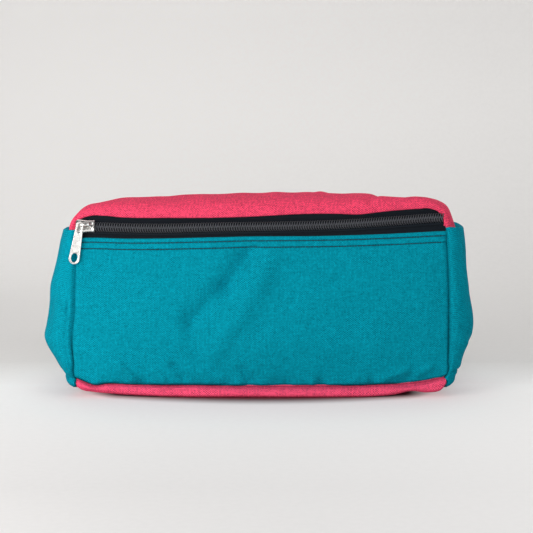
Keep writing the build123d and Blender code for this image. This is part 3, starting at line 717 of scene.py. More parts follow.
def front_panel():
    across = spaced(0, 1, 0.0052, 0.0013, 0.016)
    below_hem = np.array(HEM_ROWS)
    upright = spaced(0, 1, 0.0145, 0.004, 0.03)[:-7]
    upright = np.concatenate([upright / upright[-1], 0 * below_hem + 1])
    down = np.concatenate([np.full(len(upright) - len(below_hem), HEM_ROWS[0] + 0.9), below_hem])
    u, v = np.meshgrid(across, upright)
    x = (2 * u - 1) * FRONT_HALF
    low = base_seam(x)
    z = low + (hem_height(x) - down[:, None] - low) * v
    x = -left_seam(z) + (left_seam(z) + right_seam(z)) * u
    face = joined(x, -HALF_DEPTH - front_out(x, z), z)
    turn = np.linspace(0, math.pi, 8)[1:, None]
    edge = face[-1][None]
    roll = np.concatenate([
        edge + FOLD_RADIUS * joined(0, 1 - np.cos(turn), np.sin(turn)),
        edge + np.array([[[0, 2 * FOLD_RADIUS, -drop]] for drop in (1.5, 3.0, 4.4)]),
    ])
    points = np.concatenate([face, roll])
    uv = joined(points[..., 0], points[..., 2])
    uv[len(face):, :, 1] = uv[len(face) - 1, :, 1] + np.linspace(0.4, 12, len(roll))[:, None]
    # Painted shade down the seams and under the stitches; none on the rolled edge.
    shade = np.concatenate([front_painted_shade(face[..., 0], face[..., 2]), 0 * roll[..., 0]])
    piece = cloth_piece("front_panel", points, CLOTH, teal_cloth, grey_lining, uv, shade=shade)
    settle(piece, PACK, "teal_cloth", "front_panel")


front_panel()


# ---- Base

BASE_HALF = 116.4
base_across = spaced(-1, 1, 0.012, 0.003, 0.03)


def base_panel():
    x = base_across * BASE_HALF
    seam, low = base_seam(x), base_edge(x)
    lift = np.clip(low, 0.0, None)
    puff = 0.45 * ripple(x, 0 * x, 11, 21) + 0.25 * ripple(x, 0 * x, 5, 22)
    ends = 0.4 * bell((1 - np.abs(base_across)) / 0.02)
    belly = 2.4 * (1 - ease((-x - 55) / 45)) * (1 - 0.35 * ease((x - 60) / 50))
    front, back = -HALF_DEPTH, HALF_DEPTH
    knots = [
        (front + 2.6, seam + 0.9),
        (front + SEAM_TUCK, seam - 0.1),
        (front - 0.35 - puff * 0.5 - belly * 0.3, seam - 1.5),
        (front - 0.9 - puff + ends - belly * 0.7, (seam + low) / 2),
        (front - 0.4 - puff * 0.5 + ends - belly, low + 1.5),
        (front + 1.0 + ends - belly, low + 0.2),
        (front + 4.5, lift * 0.9),
        (front + 16, lift * 0.6),
        (front + 30, lift * 0.5),
        (back - 30, lift * 0.5),
        (back - 8, lift * 0.8),
        (back - 2.5, lift * 0.9 + 1.2),
        (back - 0.2, 4.5 + lift * 0.4),
        (back + 0.1, 9.0),
    ]
    table = np.stack([joined(x, y, z) for y, z in knots])
    places = lengths_along(table[:, len(x) // 2])
    at = chained(places[[0, 6, 10, 13]], (34, 26, 16))
    points = joined(*[
        np.stack([smooth_line(*zip(places, table[:, i, axis]))(at) for i in range(len(x))], axis=1)
        for axis in range(3)
    ])
    uv = joined(x[None], at[:, None])
    # Painted shade along the base's seam, on the front half only.
    shade = 0.6 * bell((points[..., 2] - base_seam(x)) / 0.5) * (points[..., 1] < 0)
    points, uv, shade = points[::-1], uv[::-1], shade[::-1]
    # Its cloth is the pink painted lighter, as painted light.
    piece = cloth_piece("base_panel", points, CLOTH, pink_base_painted_light_cloth, grey_lining, uv, shade=shade)
    settle(piece, PACK, "pink_cloth", "bottom_panel")


base_panel()


# ---- Side panels

# How far each side stands out at half depth, at each height
left_bulge = smooth_line(
    (1.5, 1.1), (3.5, 4.2), (6, 7.7), (9, 8.8), (12, 7.8), (14, 8.8), (18, 12.2), (23, 15.4),
    (30, 19.7), (35, 21.3), (42, 20.2), (56, 18.8), (66, 18.2), (85, 13.5), (104, 9.6),
)
right_bulge = smooth_line(
    (1.5, 0.6), (3, 3.0), (5, 5.2), (8, 7.2), (11, 8.0), (14.5, 8.9), (17, 9.7), (20, 10.7),
    (27.7, 13.3), (34, 17), (41, 19.2), (50, 18.9), (60, 16.9), (82, 14.0), (95, 13.2), (105, 13.0),
)
side_top_left = smooth_line((0, 105.8), (0.25, 105.4), (0.5, 103.6), (0.75, 101.6), (1, 101.8))
side_top_right = smooth_line(
    (0, 107.9), (0.1, 107.4), (0.3, 106.2), (0.5, 105.4), (0.75, 105.0), (1, 105.0),
)
side_foot = smooth_line((0, 8.5), (0.15, 6.8), (0.4, 3.5), (0.7, 3), (1, 5))
SIDE_SQUARE = 0.78   # below 1 for a squarer section than an ellipse
TOP_ROLL = 1.3       # the side's folded upper edge
SHELF = 5.0          # how far it turns in towards the top panel
SIDE_RUN = 92.0      # round the side from seam to seam


RIGHT_FOLDS = ((8, 46), (34, 33), 3.2, -1.1, 0.5), ((6, 33), (26, 24), 2.6, -0.8, 0.6)
LEFT_FOLDS = ((2, 20), (5, 62), 2.2, -1.7, 0.7), ((10, 80), (30, 50), 5, -0.9, 0.6)
LEFT_FOLDS += tuple(((0.5, low), (8, low + 4.5), 0.9, 1.5, 0.7) for low in (12.0, 15.0, 18.0))

# kink is the height of the dent round the foot
SideShape = namedtuple("SideShape", "bulge seam top seam_shade folds kink kink_depth seed")
LEFT_SIDE = SideShape(
    left_bulge, left_seam, side_top_left, left_seam_painted_shade, LEFT_FOLDS,
    kink=11.5, kink_depth=1.5, seed=40,
)
RIGHT_SIDE = SideShape(
    right_bulge, right_seam, side_top_right, right_seam_painted_shade, RIGHT_FOLDS,
    kink=15.2, kink_depth=2.3, seed=50,
)


def side_relief(shape, depth, z):
    """Folds of a side panel, outwards. depth runs 0 to 1 from the front seam to the back seam."""
    run = depth * SIDE_RUN
    relief = 0.8 * ripple(run, z, 24, shape.seed) + 0.3 * ripple(run, z, 10, shape.seed + 1)
    dent = bell((z - shape.kink - run * 0.02) / 1.1)
    relief -= shape.kink_depth * dent * ease((0.75 - depth) * 2.4)
    relief = folded(relief, run, z, *shape.folds)
    return relief + 0.5 * bell((run - 4) / 5) * ripple(z, run * 0.2, 6, shape.seed + 2)


def side_panel(side):
    shape = LEFT_SIDE if side < 0 else RIGHT_SIDE
    depth = spaced(0, 1, 0.0155, 0.0035, 0.04)
    rows = spaced(0, 1, 0.013, 0.005, 0.06)
    d, v = np.meshgrid(depth, rows)
    turn = (d - 0.5) * math.pi
    z = side_foot(d) + (shape.top(d) - TOP_ROLL - side_foot(d)) * v
    half = HALF_DEPTH - 5.0 * ease((9 - z) / 9)
    edge = shape.seam(z) + (HALF_WIDTH - shape.seam(z)) * d
    lean = np.cos(turn) ** SIDE_SQUARE
    relief = side_relief(shape, d, z) * ease(np.minimum(d, 1 - d) * 16) * (1 - 0.6 * ease((v - 0.9) * 8))
    x = edge + shape.bulge(z) * lean
    y = half * np.sign(turn) * np.abs(np.sin(turn)) ** SIDE_SQUARE
    normal = unit(joined(np.cos(turn), 0.55 * np.sin(turn)))
    from_seam = np.minimum(d, 1 - d) * SIDE_RUN
    tuck = SEAM_TUCK * bell(from_seam / SEAM_REACH) * (1 - 0.85 * ease((v - 0.93) / 0.04))
    x = x + relief * normal[..., 0] - tuck * 0.55
    y = y + relief * normal[..., 1] + tuck * np.sign(0.5 - d)
    wall = joined(side * x, y, z)
    inward = joined(-side * np.cos(turn[-1]), -0.35 * np.sin(turn[-1]), 0 * turn[-1])
    angle = np.linspace(0, 0.5 * math.pi, 6)[1:, None, None]
    edge_row = wall[-1][None]
    upwards = np.array([0, 0, 1.0])
    roll = edge_row + TOP_ROLL * (inward[None] * (1 - np.cos(angle)) + upwards * np.sin(angle))
    under_top = inward.copy()    # towards the back it goes in further, under the top panel's end
    rear = ease(turn[-1] / 0.5)
    under_top[:, 0] = -side * np.maximum(np.cos(turn[-1]) + 0.4 * rear, 1.1 * rear)
    shelf = np.stack([
        roll[-1] + under_top * SHELF * share + np.array([0, 0, -drop])
        for share, drop in ((0.25, 0.05), (0.5, 0.3), (0.75, 0.9), (1.0, 1.8))
    ])
    foot = np.stack([
        wall[0] + inward * 2.5 * share + np.array([0, 0, -0.9 * share]) for share in (1.6, 0.8)
    ])
    points = np.concatenate([foot, wall, roll, shelf])
    uv = measured_uv(points)
    shade = np.zeros(points.shape[:2])
    # Painted shade along both of the side's seams, as dark as the front seam's at each height.
    shade[len(foot):len(foot) + len(wall)] = shape.seam_shade(z) * bell(from_seam / SEAM_SHADE_REACH)
    name = sided("side_panel", side)
    piece = cloth_piece(name, points, CLOTH, teal_cloth, grey_lining, uv, flip=side < 0, shade=shade)
    settle(piece, PACK, "teal_cloth", name)


side_panel(-1)
side_panel(1)


# ---- Top panel

# Two of its three guide lines, each at places t from the left end, -1, to the right end, 1:
# the rim along the zip as (t, x, up the tape) and the crest as (t, x, height).
RIM = (
    (-1, -117.3, -4.6), (-0.975, -116.9, -0.4), (-0.95, -114.8, 3.6), (-0.925, -110.6, 6.1),
    (-0.9, -105, 7.3), (-0.87, -100, 7.1), (-0.76, -88, 5.7), (-0.69, -81, 5.2), (-0.5, -58, 4.5),
    (-0.31, -36, 3.9), (-0.05, -6, 3.9), (0.2, 24, 4.7), (0.28, 32, 4.7), (0.4, 47, 4.3),
    (0.53, 62, 3.5), (0.59, 69, 4.1), (0.66, 77, 4.9), (0.75, 87, 5.6), (0.85, 99, 6.1),
    (0.91, 106, 5.9), (0.935, 110, 4.3), (0.955, 112.6, 1.6), (0.975, 114.0, -2.4), (1, 115.0, -6.6),
)
CREST = (
    (-1, -121.4, 98.6), (-0.975, -120.0, 107.2), (-0.95, -118.2, 112.6), (-0.925, -115.2, 116),
    (-0.9, -110.5, 118.2), (-0.87, -104.5, 119.8), (-0.82, -97.5, 121.3), (-0.76, -90, 122.2),
    (-0.62, -72, 122.7), (-0.45, -53, 124.2), (-0.23, -27, 125.1), (-0.1, -12, 125.2),
    (-0.015, -1.8, 123.6), (0.08, 9.5, 125.2), (0.32, 38, 126), (0.44, 51.5, 124.9), (0.52, 61, 125.4),
    (0.6, 70.6, 125.2), (0.68, 80, 123.1), (0.79, 93, 122.6), (0.87, 103, 122.8), (0.91, 109.7, 122),
    (0.935, 115, 120), (0.955, 119.6, 117), (0.975, 122.6, 111), (1, 126.4, 100.6),
)
CREST_DEPTH = 4.0
# The third, the upper edge of the back, as (t, x, height) for the right half
BACK_EDGE = (
    (0, 0, 121), (0.25, 30, 120.8), (0.5, 60, 119.6), (0.7, 80, 118.2), (0.8, 92, 116.6),
    (0.88, 102, 114), (0.93, 109.5, 110.6), (0.965, 114.6, 105.8), (1, 117.4, 100.0),
)


def guide_line(knots, t):
    """The two values of a table (t, first, second) at each t."""
    places, first, second = zip(*knots)
    return joined(smooth_line(*zip(places, first))(t), smooth_line(*zip(places, second))(t))


BACK_EDGE_CROWN = 121.5    # the height of the crown that the table above was drawn for


def back_edge(t):
    """The upper edge of the back, arched and the same on both sides."""
    x, z = guide_line(BACK_EDGE, np.abs(t)).T
    return joined(np.sign(t) * x, HALF_DEPTH + 0 * x, z + CROWN_HEIGHT - BACK_EDGE_CROWN)


TOP_FOLDS = (
    ((36, 16), (54, 8), 2.4, 1.3, 0.5), ((54, 8), (67, 1.5), 2.2, 1.1, 0.5),
    ((80, 17), (66, 2), 3.6, -1.1, 0.6), ((44, 15), (60, 4), 3.0, -0.9),
    ((-1.8, 22), (4, 8), 3.6, -1.0, 0.7), ((-70, 3), (-40, 14), 6.0, -0.7, 0.6),
    ((-58, 14), (-30, 6), 5.0, 0.6, 0.6), ((92, 4), (112, 12), 4.0, -0.7),
)


def top_relief(x, share):
    """Folds of the top panel, outwards. share is 0 at the rim, 1 at the crest and 2 at the back."""
    rise = share * 15
    relief = 0.8 * ripple(x, rise, 24, 61) + 0.5 * ripple(x, rise, 10, 62)
    relief = folded(relief, x, rise, *TOP_FOLDS)
    return relief + 0.22 * bell((rise - 2.5) / 2.2) * ripple(x, 0 * x, 3.4, 66)


def top_lines(t):
    rim, crest = guide_line(RIM, t), guide_line(CREST, t)
    rim_points = on_tape(rim[:, 0], rim[:, 1]) + TAPE_FACE * OUT
    crest_points = joined(crest[:, 0], CREST_DEPTH + 0 * t, crest[:, 1])
    return rim_points, crest_points, rim


RIM_RADIUS = 0.85
TOP_SPANS = (-1, -0.87, 0.88, 1)    # t where the mesh's spacing changes: it is finer at both ends


def cubic_row(start, lead, end, tail, s):
    """Points at share s of the way between two rows, leaving along lead and arriving along tail."""
    h00, h10 = 2 * s**3 - 3 * s**2 + 1, s**3 - 2 * s**2 + s
    h01, h11 = -2 * s**3 + 3 * s**2, s**3 - s**2
    return h00 * start + h10 * lead + h01 * end + h11 * tail


def top_panel():
    t = chained(TOP_SPANS, (44, 230, 44))
    rim, crest, _ = top_lines(t)
    back = back_edge(t)
    away = np.cross(OUT, unit(np.gradient(rim, axis=0)))
    centre = rim + away * RIM_RADIUS + OUT * RIM_RADIUS
    turned = 1 - 0.9 * ease((np.abs(t) - 0.84) / 0.07)[:, None]
    rows = [rim + away * (RIM_RADIUS + 3.6 * turned), rim + away * (RIM_RADIUS + 1.6 * turned)]
    for angle in np.linspace(-0.5 * math.pi, 0.5 * math.pi, 9):
        rows.append(centre + RIM_RADIUS * (OUT * math.sin(angle) - away * math.cos(angle)))
    start = rows[-1]
    reach = np.linalg.norm(crest - start, axis=1, keepdims=True)
    lead = unit(away + 0.35 * OUT) * reach * (0.9 - 0.6 * ease((np.abs(t) - 0.86) / 0.09))[:, None]
    level = joined(0 * t, reach[:, 0] * 1.1, 0 * t)
    shares = spaced(0, 1, 0.035, 0.02, 0.08)[1:]
    front_rows = [cubic_row(start, lead, crest, level, s) for s in shares]
    outward = joined(back[:, 0] * 0, 0 * t + 18, -6 * (1 - np.abs(t) ** 12))
    steps = np.linspace(0, 1, 22)[1:]
    level_back = joined(0 * t, 0 * t + (HALF_DEPTH - CREST_DEPTH) * 1.05, 0 * t)
    back_rows = [cubic_row(crest, level_back, back, outward * 1.5, s) for s in steps]
    points = np.stack(rows + front_rows + back_rows)
    share = np.concatenate([np.zeros(len(rows)), shares, 1 + steps])[:, None]
    normals = grid_normals(points)
    x = points[..., 0]
    held = ease(share * 6) * ease((2 - share) * 4) * ease((1 - np.abs(t)) * 30)[None]
    scale = 0.35 + 0.65 * ease((1 - np.abs(t)) * 12)[None]
    points = points + normals * (top_relief(x, share) * held * scale)[..., None]
    piece = cloth_piece("top_panel", points, CLOTH, pink_cloth, grey_lining, measured_uv(points))
    opens_with_lid(piece, "pink_cloth", "top_panel")


top_panel()


# ---- Zip

HALVES = ("lower", "upper")
TAPE_EDGE = 1.6          # inner edge of each tape, from the coil's line
TAPE_UNDER = 1.6         # how far each tape runs on behind the cloth
TAPE_MARGIN = 1.8        # the tape stops short of the side seams
COIL_PITCH = 1.54
COIL_WIRE = 0.26         # radius of the filament
COIL_BACK = 2.75         # outer side of the loops, from the coil's line
COIL_HEAD = 0.55         # how far each loop passes the line
COIL_STITCH_ROWS = (1.25, 2.1)    # the threads over its loops, from the coil's line
COIL_SLANT = 0.08        # share of the pitch that each loop slants by, per millimetre
COIL_LOW = TAPE_FACE + COIL_WIRE
COIL_FIRST = 5.0         # along the zip, where the coil comes out of the slider
COIL_LAST = ZIP_LENGTH - 2.6


def tape(side):
    """One zip tape: flat beside the coil, with a raised cord next to it and a faint wave along it."""
    along = np.linspace(TAPE_MARGIN, ZIP_LENGTH - TAPE_MARGIN, 236)
    x = -HALF_WIDTH + along * ALONG[0]
    if side < 0:
        edge = hem_line(x) - zip_dip(along) - TAPE_UNDER * (1 - ease((np.abs(x) - 112.5) / 2.5))
    else:
        rim_t = np.linspace(-1, 1, 300)
        rim = top_lines(rim_t)[2]
        corner = ease((np.abs(x) - 102) / 7)
        edge = np.interp(x, rim[:, 0], rim[:, 1])
        edge = np.maximum(edge, 3.0 - 2.0 * corner) - zip_dip(along) + 3.4 - 2.6 * corner
    share = chained((0, 0.3, 1), (10, 15))[:, None]
    up = side * TAPE_EDGE + (edge - side * TAPE_EDGE) * share
    off = np.abs(up) - TAPE_EDGE
    out = TAPE_FACE + 0.42 * bell((off - 1.9) / 0.42) - 0.3 * bell((off - 2.9) / 0.5)
    out = out + 0.14 * ripple(along[None] + 0 * up, up, 9, 71 + side)
    points = in_zip(np.broadcast_to(along, up.shape), up, out)
    uv = joined(np.broadcast_to(along, up.shape), up)
    name = sided("zip_tape", side, *HALVES)
    return cloth_piece(name, points, 2 * TAPE_FACE, zip_tape, uv=uv, flip=side > 0)


def coil(side):
    """Half of the coil: one filament in flattened turns, with its heads past the middle line."""
    turns = int((COIL_LAST - COIL_FIRST) / COIL_PITCH)
    shift = COIL_PITCH / 2 if side > 0 else 0.0
    top = COIL_TOP - COIL_WIRE
    middle = (COIL_LOW + top) / 2
    # one turn as (along, up from the line, out): under leg, head, top leg, back
    turn = [
        (-0.12, -COIL_BACK + 0.55, COIL_LOW), (-0.08, -1.2, COIL_LOW),
        (-0.03, COIL_HEAD - 0.45, COIL_LOW + 0.1), (0.0, COIL_HEAD, middle),
        (0.03, COIL_HEAD - 0.3, top - 0.1), (0.06, -0.2, top + 0.05), (0.08, -1.2, top + 0.05),
        (0.1, -COIL_BACK + 0.6, top - 0.1), (0.25, -COIL_BACK, middle + 0.35),
        (0.62, -COIL_BACK, middle - 0.45),
    ]
    path = []
    for number in range(turns):
        start = COIL_FIRST + number * COIL_PITCH + shift
        for a, u, o in turn:
            path.append((start + COIL_PITCH * (a + COIL_SLANT * (COIL_HEAD - u)), -side * u, o))
    wound = tube(in_zip(*np.array(path).T), COIL_WIRE, sides=8, up=OUT)
    return mesh_piece(sided("zip_coil", side, *HALVES), *wound, [nylon_coil])


def coil_stitching(side):
    """The two chains of thread that hold half of the coil to its tape."""
    parts = []
    for up in COIL_STITCH_ROWS:
        along = np.arange(COIL_FIRST, COIL_LAST - 1.6, COIL_PITCH / 4)
        hop = 0.5 + 0.5 * np.cos(2 * math.pi * (along - COIL_FIRST) / COIL_PITCH)
        path = in_zip(along, side * (up + 0.1 * hop), COIL_TOP - 0.55 + 0.5 * hop)
        parts.append(tube(path, 0.17, sides=4, up=OUT))
    return mesh_piece(sided("zip_coil_stitching", side, *HALVES), *together(parts), [black_thread])


settle(tape(-1), PACK, "zip_tape", "zip_tape_lower")
opens_with_lid(tape(1), "zip_tape", "zip_tape_upper", "zip_tape_upper_ends")
settle(coil(-1), PACK, "nylon_coil", "zip_coil_lower")
opens_with_lid(coil(1), "nylon_coil", "zip_coil_upper", "zip_coil_upper_ends")
settle(coil_stitching(-1), PACK, "black_thread")
opens_with_lid(coil_stitching(1), "black_thread")


TAB_MARGIN = 0.1         # from the side seam
LEFT_TAB = (-6.0, 5.2, 2.3)     # lower and upper end, up the tape, and width
RIGHT_TAB = (-5.2, 3.2, 3.6)


def end_tab(side):
    """A folded strip of cloth sewn over one end of the zip."""
    low, high, width = LEFT_TAB if side < 0 else RIGHT_TAB
    start = TAB_MARGIN if side < 0 else ZIP_LENGTH - width - TAB_MARGIN
    a, u = np.meshgrid(np.linspace(0, 1, 12), np.linspace(low, high, 22))
    puff = TAPE_FACE + 0.25 + 1.15 * np.sin(math.pi * np.clip(a, 0.02, 0.98)) ** 0.5
    if side > 0:    # it stands over the coil's end and goes in under the top panel
        under = ease((a - 0.3) / 0.35)
        puff = puff * (1 - 0.75 * under) + 1.3 * np.exp(-((u / 3.2) ** 4)) * (1 - under)
    puff += 0.12 * ripple(a * 3, u, 2.2, 83 + side)
    points = in_zip(start + width * a, u, puff)
    name = sided("zip_end_tab", side)
    piece = cloth_piece(name, points, CLOTH * 0.8, pink_cloth)
    settle(piece, PACK, "pink_cloth", name)


end_tab(-1)
end_tab(1)


# ---- Topstitching


def seam_stitches(name, line, facing, pitch, radius, material, gap=0.42, reach=0.16):
    """Lockstitches along a line: each rises out of its needle hole, lies on the cloth and dips again."""
    facing = np.array(facing, float)
    rise = reach * np.sin(np.linspace(0, math.pi, 7)) ** 0.45 - 0.12
    thick = radius * np.array([0.65, 0.95, 1, 1, 1, 0.95, 0.65])
    places = lengths_along(line)
    parts = []
    for number in range(int(places[-1] / pitch)):
        share = np.linspace(number * pitch + gap / 2, (number + 1) * pitch - gap / 2, 7)
        path = joined(*[np.interp(share, places, axis) for axis in line.T])
        parts.append(tube(path + facing * rise[:, None], thick, up=facing))
    return mesh_piece(name, *together(parts), [material])


def front_stitches():
    x = np.linspace(*STITCH_ENDS, 400)
    for number, row in enumerate(STITCH_ROWS, 1):
        z = hem_height(x) - row
        line = joined(x, -HALF_DEPTH - front_out(x, z), z)
        piece = seam_stitches(
            f"front_topstitch_row_{number}", line, (0, -1, 0), STITCH_PITCH, 0.3, teal_thread, gap=0.2
        )
        settle(piece, PACK, "teal_thread", *["front_topstitching"] * (number == 1))


front_stitches()


# ---- Slider, bridge and pull

SLIDER_START = 2.2       # along the zip from the left seam
SLIDER_LENGTH = 11.6
SLIDER_NOSE = 4.4        # half width of the slider at its nose
PLATE = 0.9              # thickness of its plates
BRIDGE_SPAN = 6.2
BRIDGE_RISE = 4.1        # above the top plate
PULL_TILT = math.radians(10.5)
PULL_TOP = 2.2           # above the pivot
PULL_LENGTH = 27.0
PULL_EYE_RADIUS = 2.2
PULL_END_RADIUS = 3.4
PULL_RIM = 0.75

slider_width = smooth_line(    # as a share of the nose's, along the slider
    (0, 0.80), (0.06, 0.98), (0.18, 1.0), (0.36, 0.93), (0.6, 0.83), (0.85, 0.83), (1, 0.85),
)


def lofted(stations, outline_at):
    """Closed outlines (up, out) at places along the slider, joined and capped."""
    places = [(SLIDER_START + SLIDER_LENGTH * s, outline_at(s)) for s in stations]
    table = np.array([[(along, u, o) for u, o in outline] for along, outline in places])
    points = straight_zip(*np.moveaxis(table, -1, 0)).reshape(-1, 3)
    return points, tube_faces(*table.shape[:2])


def shell_outline(s):
    """The top plate with its two flanges, as one bent section."""
    half = SLIDER_NOSE * slider_width(s)
    lip = 0.25 * float(ease((s - 0.88) / 0.06)) + 0.1 * float(ease((0.08 - s) / 0.08))
    top = PLATE_TOP + 0.12 * math.sin(math.pi * s) + lip
    under, foot, bend, wall = PLATE_TOP - PLATE, 0.75, 1.15, 0.85
    turn = np.linspace(0, math.pi / 2, 6)
    corner = [(half - bend + bend * math.cos(a), top - bend + bend * math.sin(a)) for a in turn]
    outer = [(half - 0.1, foot), (half, foot + 0.15)] + corner + [(half * 0.4, top + 0.05)]
    inside = half - wall
    inner = [
        (inside + 0.1, foot), (inside, foot + 0.15), (inside, under - 0.4), (inside - 0.4, under),
        (half * 0.4, under),
    ]
    left_outer, left_inner = [(-u, o) for u, o in outer[::-1]], [(-u, o) for u, o in inner]
    return outer + [(0.0, top + 0.08)] + left_outer + left_inner + [(0.0, under)] + inner[::-1]


def back_plate_outline(s):
    half = SLIDER_NOSE * slider_width(s) - 0.05
    right = [(half - 0.3, -1.55), (half, -1.3), (half, -0.85), (half - 0.3, -0.62)]
    return right + [(-u, o) for u, o in right[::-1]]


def slider_wedge():
    """The post that joins the two plates and parts the coil."""
    angle = np.linspace(0, 2 * math.pi, 20, endpoint=False)
    along = SLIDER_START + 2.6 + 1.8 * np.cos(angle)
    up = 1.5 * np.sin(angle) * (0.75 + 0.25 * np.cos(angle))
    rings = [straight_zip(along, up, out) for out in (-0.9, PLATE_TOP - 0.5)]
    return np.concatenate(rings), tube_faces(2, len(angle))


def band(path, width, thickness, side, corner):
    """A flat metal bar with eased edges swept along a path; side points across its width."""
    top = unit(np.cross(np.broadcast_to(side, path.shape), unit(np.gradient(path, axis=0))))
    w, h = width / 2, thickness / 2
    ring = []
    for across, over in ((1, 1), (-1, 1), (-1, -1), (1, -1)):
        bend = [(w, h - corner), (w - 0.3 * corner, h - 0.3 * corner), (w - corner, h)]
        bend = bend if across * over > 0 else bend[::-1]
        ring += [(across * u, over * v) for u, v in bend]
    side = np.asarray(side)
    points = np.concatenate([[p + side * u + t * v for u, v in ring] for p, t in zip(path, top)])
    return points, tube_faces(len(path), len(ring))


def slider_piece():
    shell = lofted(np.concatenate([np.linspace(0, 0.88, 18), np.linspace(0.9, 1, 6)]), shell_outline)
    plate = lofted(np.linspace(0, 1, 16), back_plate_outline)
    points, faces = together([shell, plate, slider_wedge()])
    piece = mesh_piece("zip_slider", points, faces, [nickel], sharp=38)
    eased_edges(piece, 0.1, 2, 50)
    settle(piece, "zip_slider", "nickel", "zip_slider")


def bridge_piece():
    """The looped bar over the slider that keeps the pull."""
    first, second = LEG_PLACE, LEG_PLACE + BRIDGE_SPAN
    low, high = PLATE_TOP - 0.4, PLATE_TOP + BRIDGE_RISE
    knots = [
        (first, low), (first - 0.05, low + 1.8), (first + 0.05, high - 1.3), (first + 0.8, high - 0.25),
        (first + 2.3, high + 0.15), (second - 2.0, high - 0.1), (second - 0.6, high - 0.9),
        (second, high - 2.4), (second, low),
    ]
    line = along_curve(knots, 34, 1.0)
    path = straight_zip(line[:, 0], 0 * line[:, 0], line[:, 1])
    piece = mesh_piece("zip_bridge", *band(path, 2.0, 0.95, UP, 0.3), [nickel], sharp=60)
    settle(piece, "zip_slider", "nickel", "zip_bridge")


def two_circles(top, top_radius, end, end_radius, count=24):
    """Outline of two circles joined by their tangents, one above the other."""
    lean = math.asin((end_radius - top_radius) / (top - end))
    upper = np.linspace(-lean, math.pi + lean, count)
    lower = np.linspace(math.pi + lean, 2 * math.pi - lean, count)
    points = [(top_radius * math.cos(a), top + top_radius * math.sin(a)) for a in upper]
    points += [(end_radius * math.cos(a), end + end_radius * math.sin(a)) for a in lower]
    return points


def oval(middle, half_width, half_height, power=1.0):
    angle = np.linspace(0, 2 * math.pi, 28, endpoint=False)
    c, s = np.cos(angle), np.sin(angle)
    x = half_width * np.sign(c) * np.abs(c) ** power
    y = middle + half_height * np.sign(s) * np.abs(s) ** power
    return list(zip(x, y))


def stamped(outlines, half_thickness, bevel):
    """A stamped shape with holes and rounded edges, from a filled curve, in the pull's plane."""
    curve = bpy.data.curves.new("stamped_outline", "CURVE")
    curve.dimensions = "2D"
    curve.fill_mode = "BOTH"
    curve.extrude = (half_thickness - bevel) * MM
    curve.bevel_depth = bevel * MM
    curve.bevel_resolution = 2
    curve.offset = -bevel * MM
    for outline in outlines:
        spline = curve.splines.new("POLY")
        spline.points.add(len(outline) - 1)
        for point, (x, y) in zip(spline.points, outline):
            point.co = (x * MM, y * MM, 0, 1)
        spline.use_cyclic_u = True
    holder = bpy.data.objects.new("stamped_outline", curve)
    bpy.context.scene.collection.objects.link(holder)
    bpy.context.view_layer.update()
    mesh = bpy.data.meshes.new_from_object(holder.evaluated_get(bpy.context.evaluated_depsgraph_get()))
    bpy.data.objects.remove(holder)
    flat = np.array([vertex.co for vertex in mesh.vertices]) / MM
    faces = [list(p.vertices) for p in mesh.polygons]
    bpy.data.meshes.remove(mesh)
    cos, sin = math.cos(PULL_TILT), math.sin(PULL_TILT)
    x = flat[:, 0] * cos + flat[:, 1] * sin
    z = -flat[:, 0] * sin + flat[:, 1] * cos
    return PULL_PIVOT + joined(x, -flat[:, 2], z), faces


def pull_piece():
    """The pull: a stamped tab with a long eye, an oval finger hole and raised rims."""
    top = PULL_TOP - PULL_EYE_RADIUS
    end = PULL_TOP - PULL_LENGTH + PULL_END_RADIUS
    eye, eye_half = 1.1 - 6.3 / 2, 3.15    # middle and half the length of the eye
    hole = PULL_TOP - PULL_LENGTH + 1.15 + 2.95    # middle of the finger hole
    outer = two_circles(top, PULL_EYE_RADIUS, end, PULL_END_RADIUS)
    inner = two_circles(top, PULL_EYE_RADIUS - PULL_RIM, end, PULL_END_RADIUS - PULL_RIM)
    inset = two_circles(top, PULL_EYE_RADIUS - 0.15, end, PULL_END_RADIUS - 0.15)
    points, faces = together([
        stamped([inset, oval(eye, 1.2, eye_half, 0.75), oval(hole, 2.15, 3.05)], 0.42, 0.12),
        stamped([outer, inner], 0.55, 0.2),
        stamped([oval(hole, 2.8, 3.6), oval(hole, 2.0, 2.9)], 0.5, 0.2),
    ])
    piece = mesh_piece("zip_pull", points, faces, [nickel], sharp=40)
    settle(piece, "zip_pull", "nickel", "zip_pull")


slider_piece()
bridge_piece()
pull_piece()


# ---- Padded back

BACK_FOOT = 8.6          # height of the back's lower edge
BACK_HALF = 117.0
BACK_CROWN = 3.0         # how far the padding stands out
BACK_ROW = 4.5           # its topstitching, in from the edge
FOAM_FRONT = corners("back_foam")[0][1]


def back_top(x):
    """Height of the back's upper edge."""
    edge = back_edge(np.linspace(-1, 1, 300))
    return np.interp(x, edge[:, 0], edge[:, 2])


def back_out(x, z):
    """How far the padded back stands out behind the pack."""
    slope = (back_top(x + 1) - back_top(x - 1)) / 2
    below_top = (back_top(x) - z) / np.sqrt(1 + slope**2)
    edge = np.clip(np.minimum(np.minimum(BACK_HALF - np.abs(x), z - BACK_FOOT), below_top), 0, None)
    out = BACK_CROWN * (1 - np.exp(-((edge / 11) ** 1.3))) - 1.1 * bell(edge / 1.6)
    out = out - 0.75 * bell((edge - BACK_ROW) / 0.9)
    relief = 0.6 * ripple(x, z, 30, 91) + 0.25 * ripple(x, z, 13, 92)
    return out + relief * ease(edge / 12)


def back_grid(inset, across, upright):
    u, v = np.meshgrid(across, upright)
    x = u * (BACK_HALF - inset)
    low = BACK_FOOT + inset
    return x, low + (back_top(x) - inset - low) * v


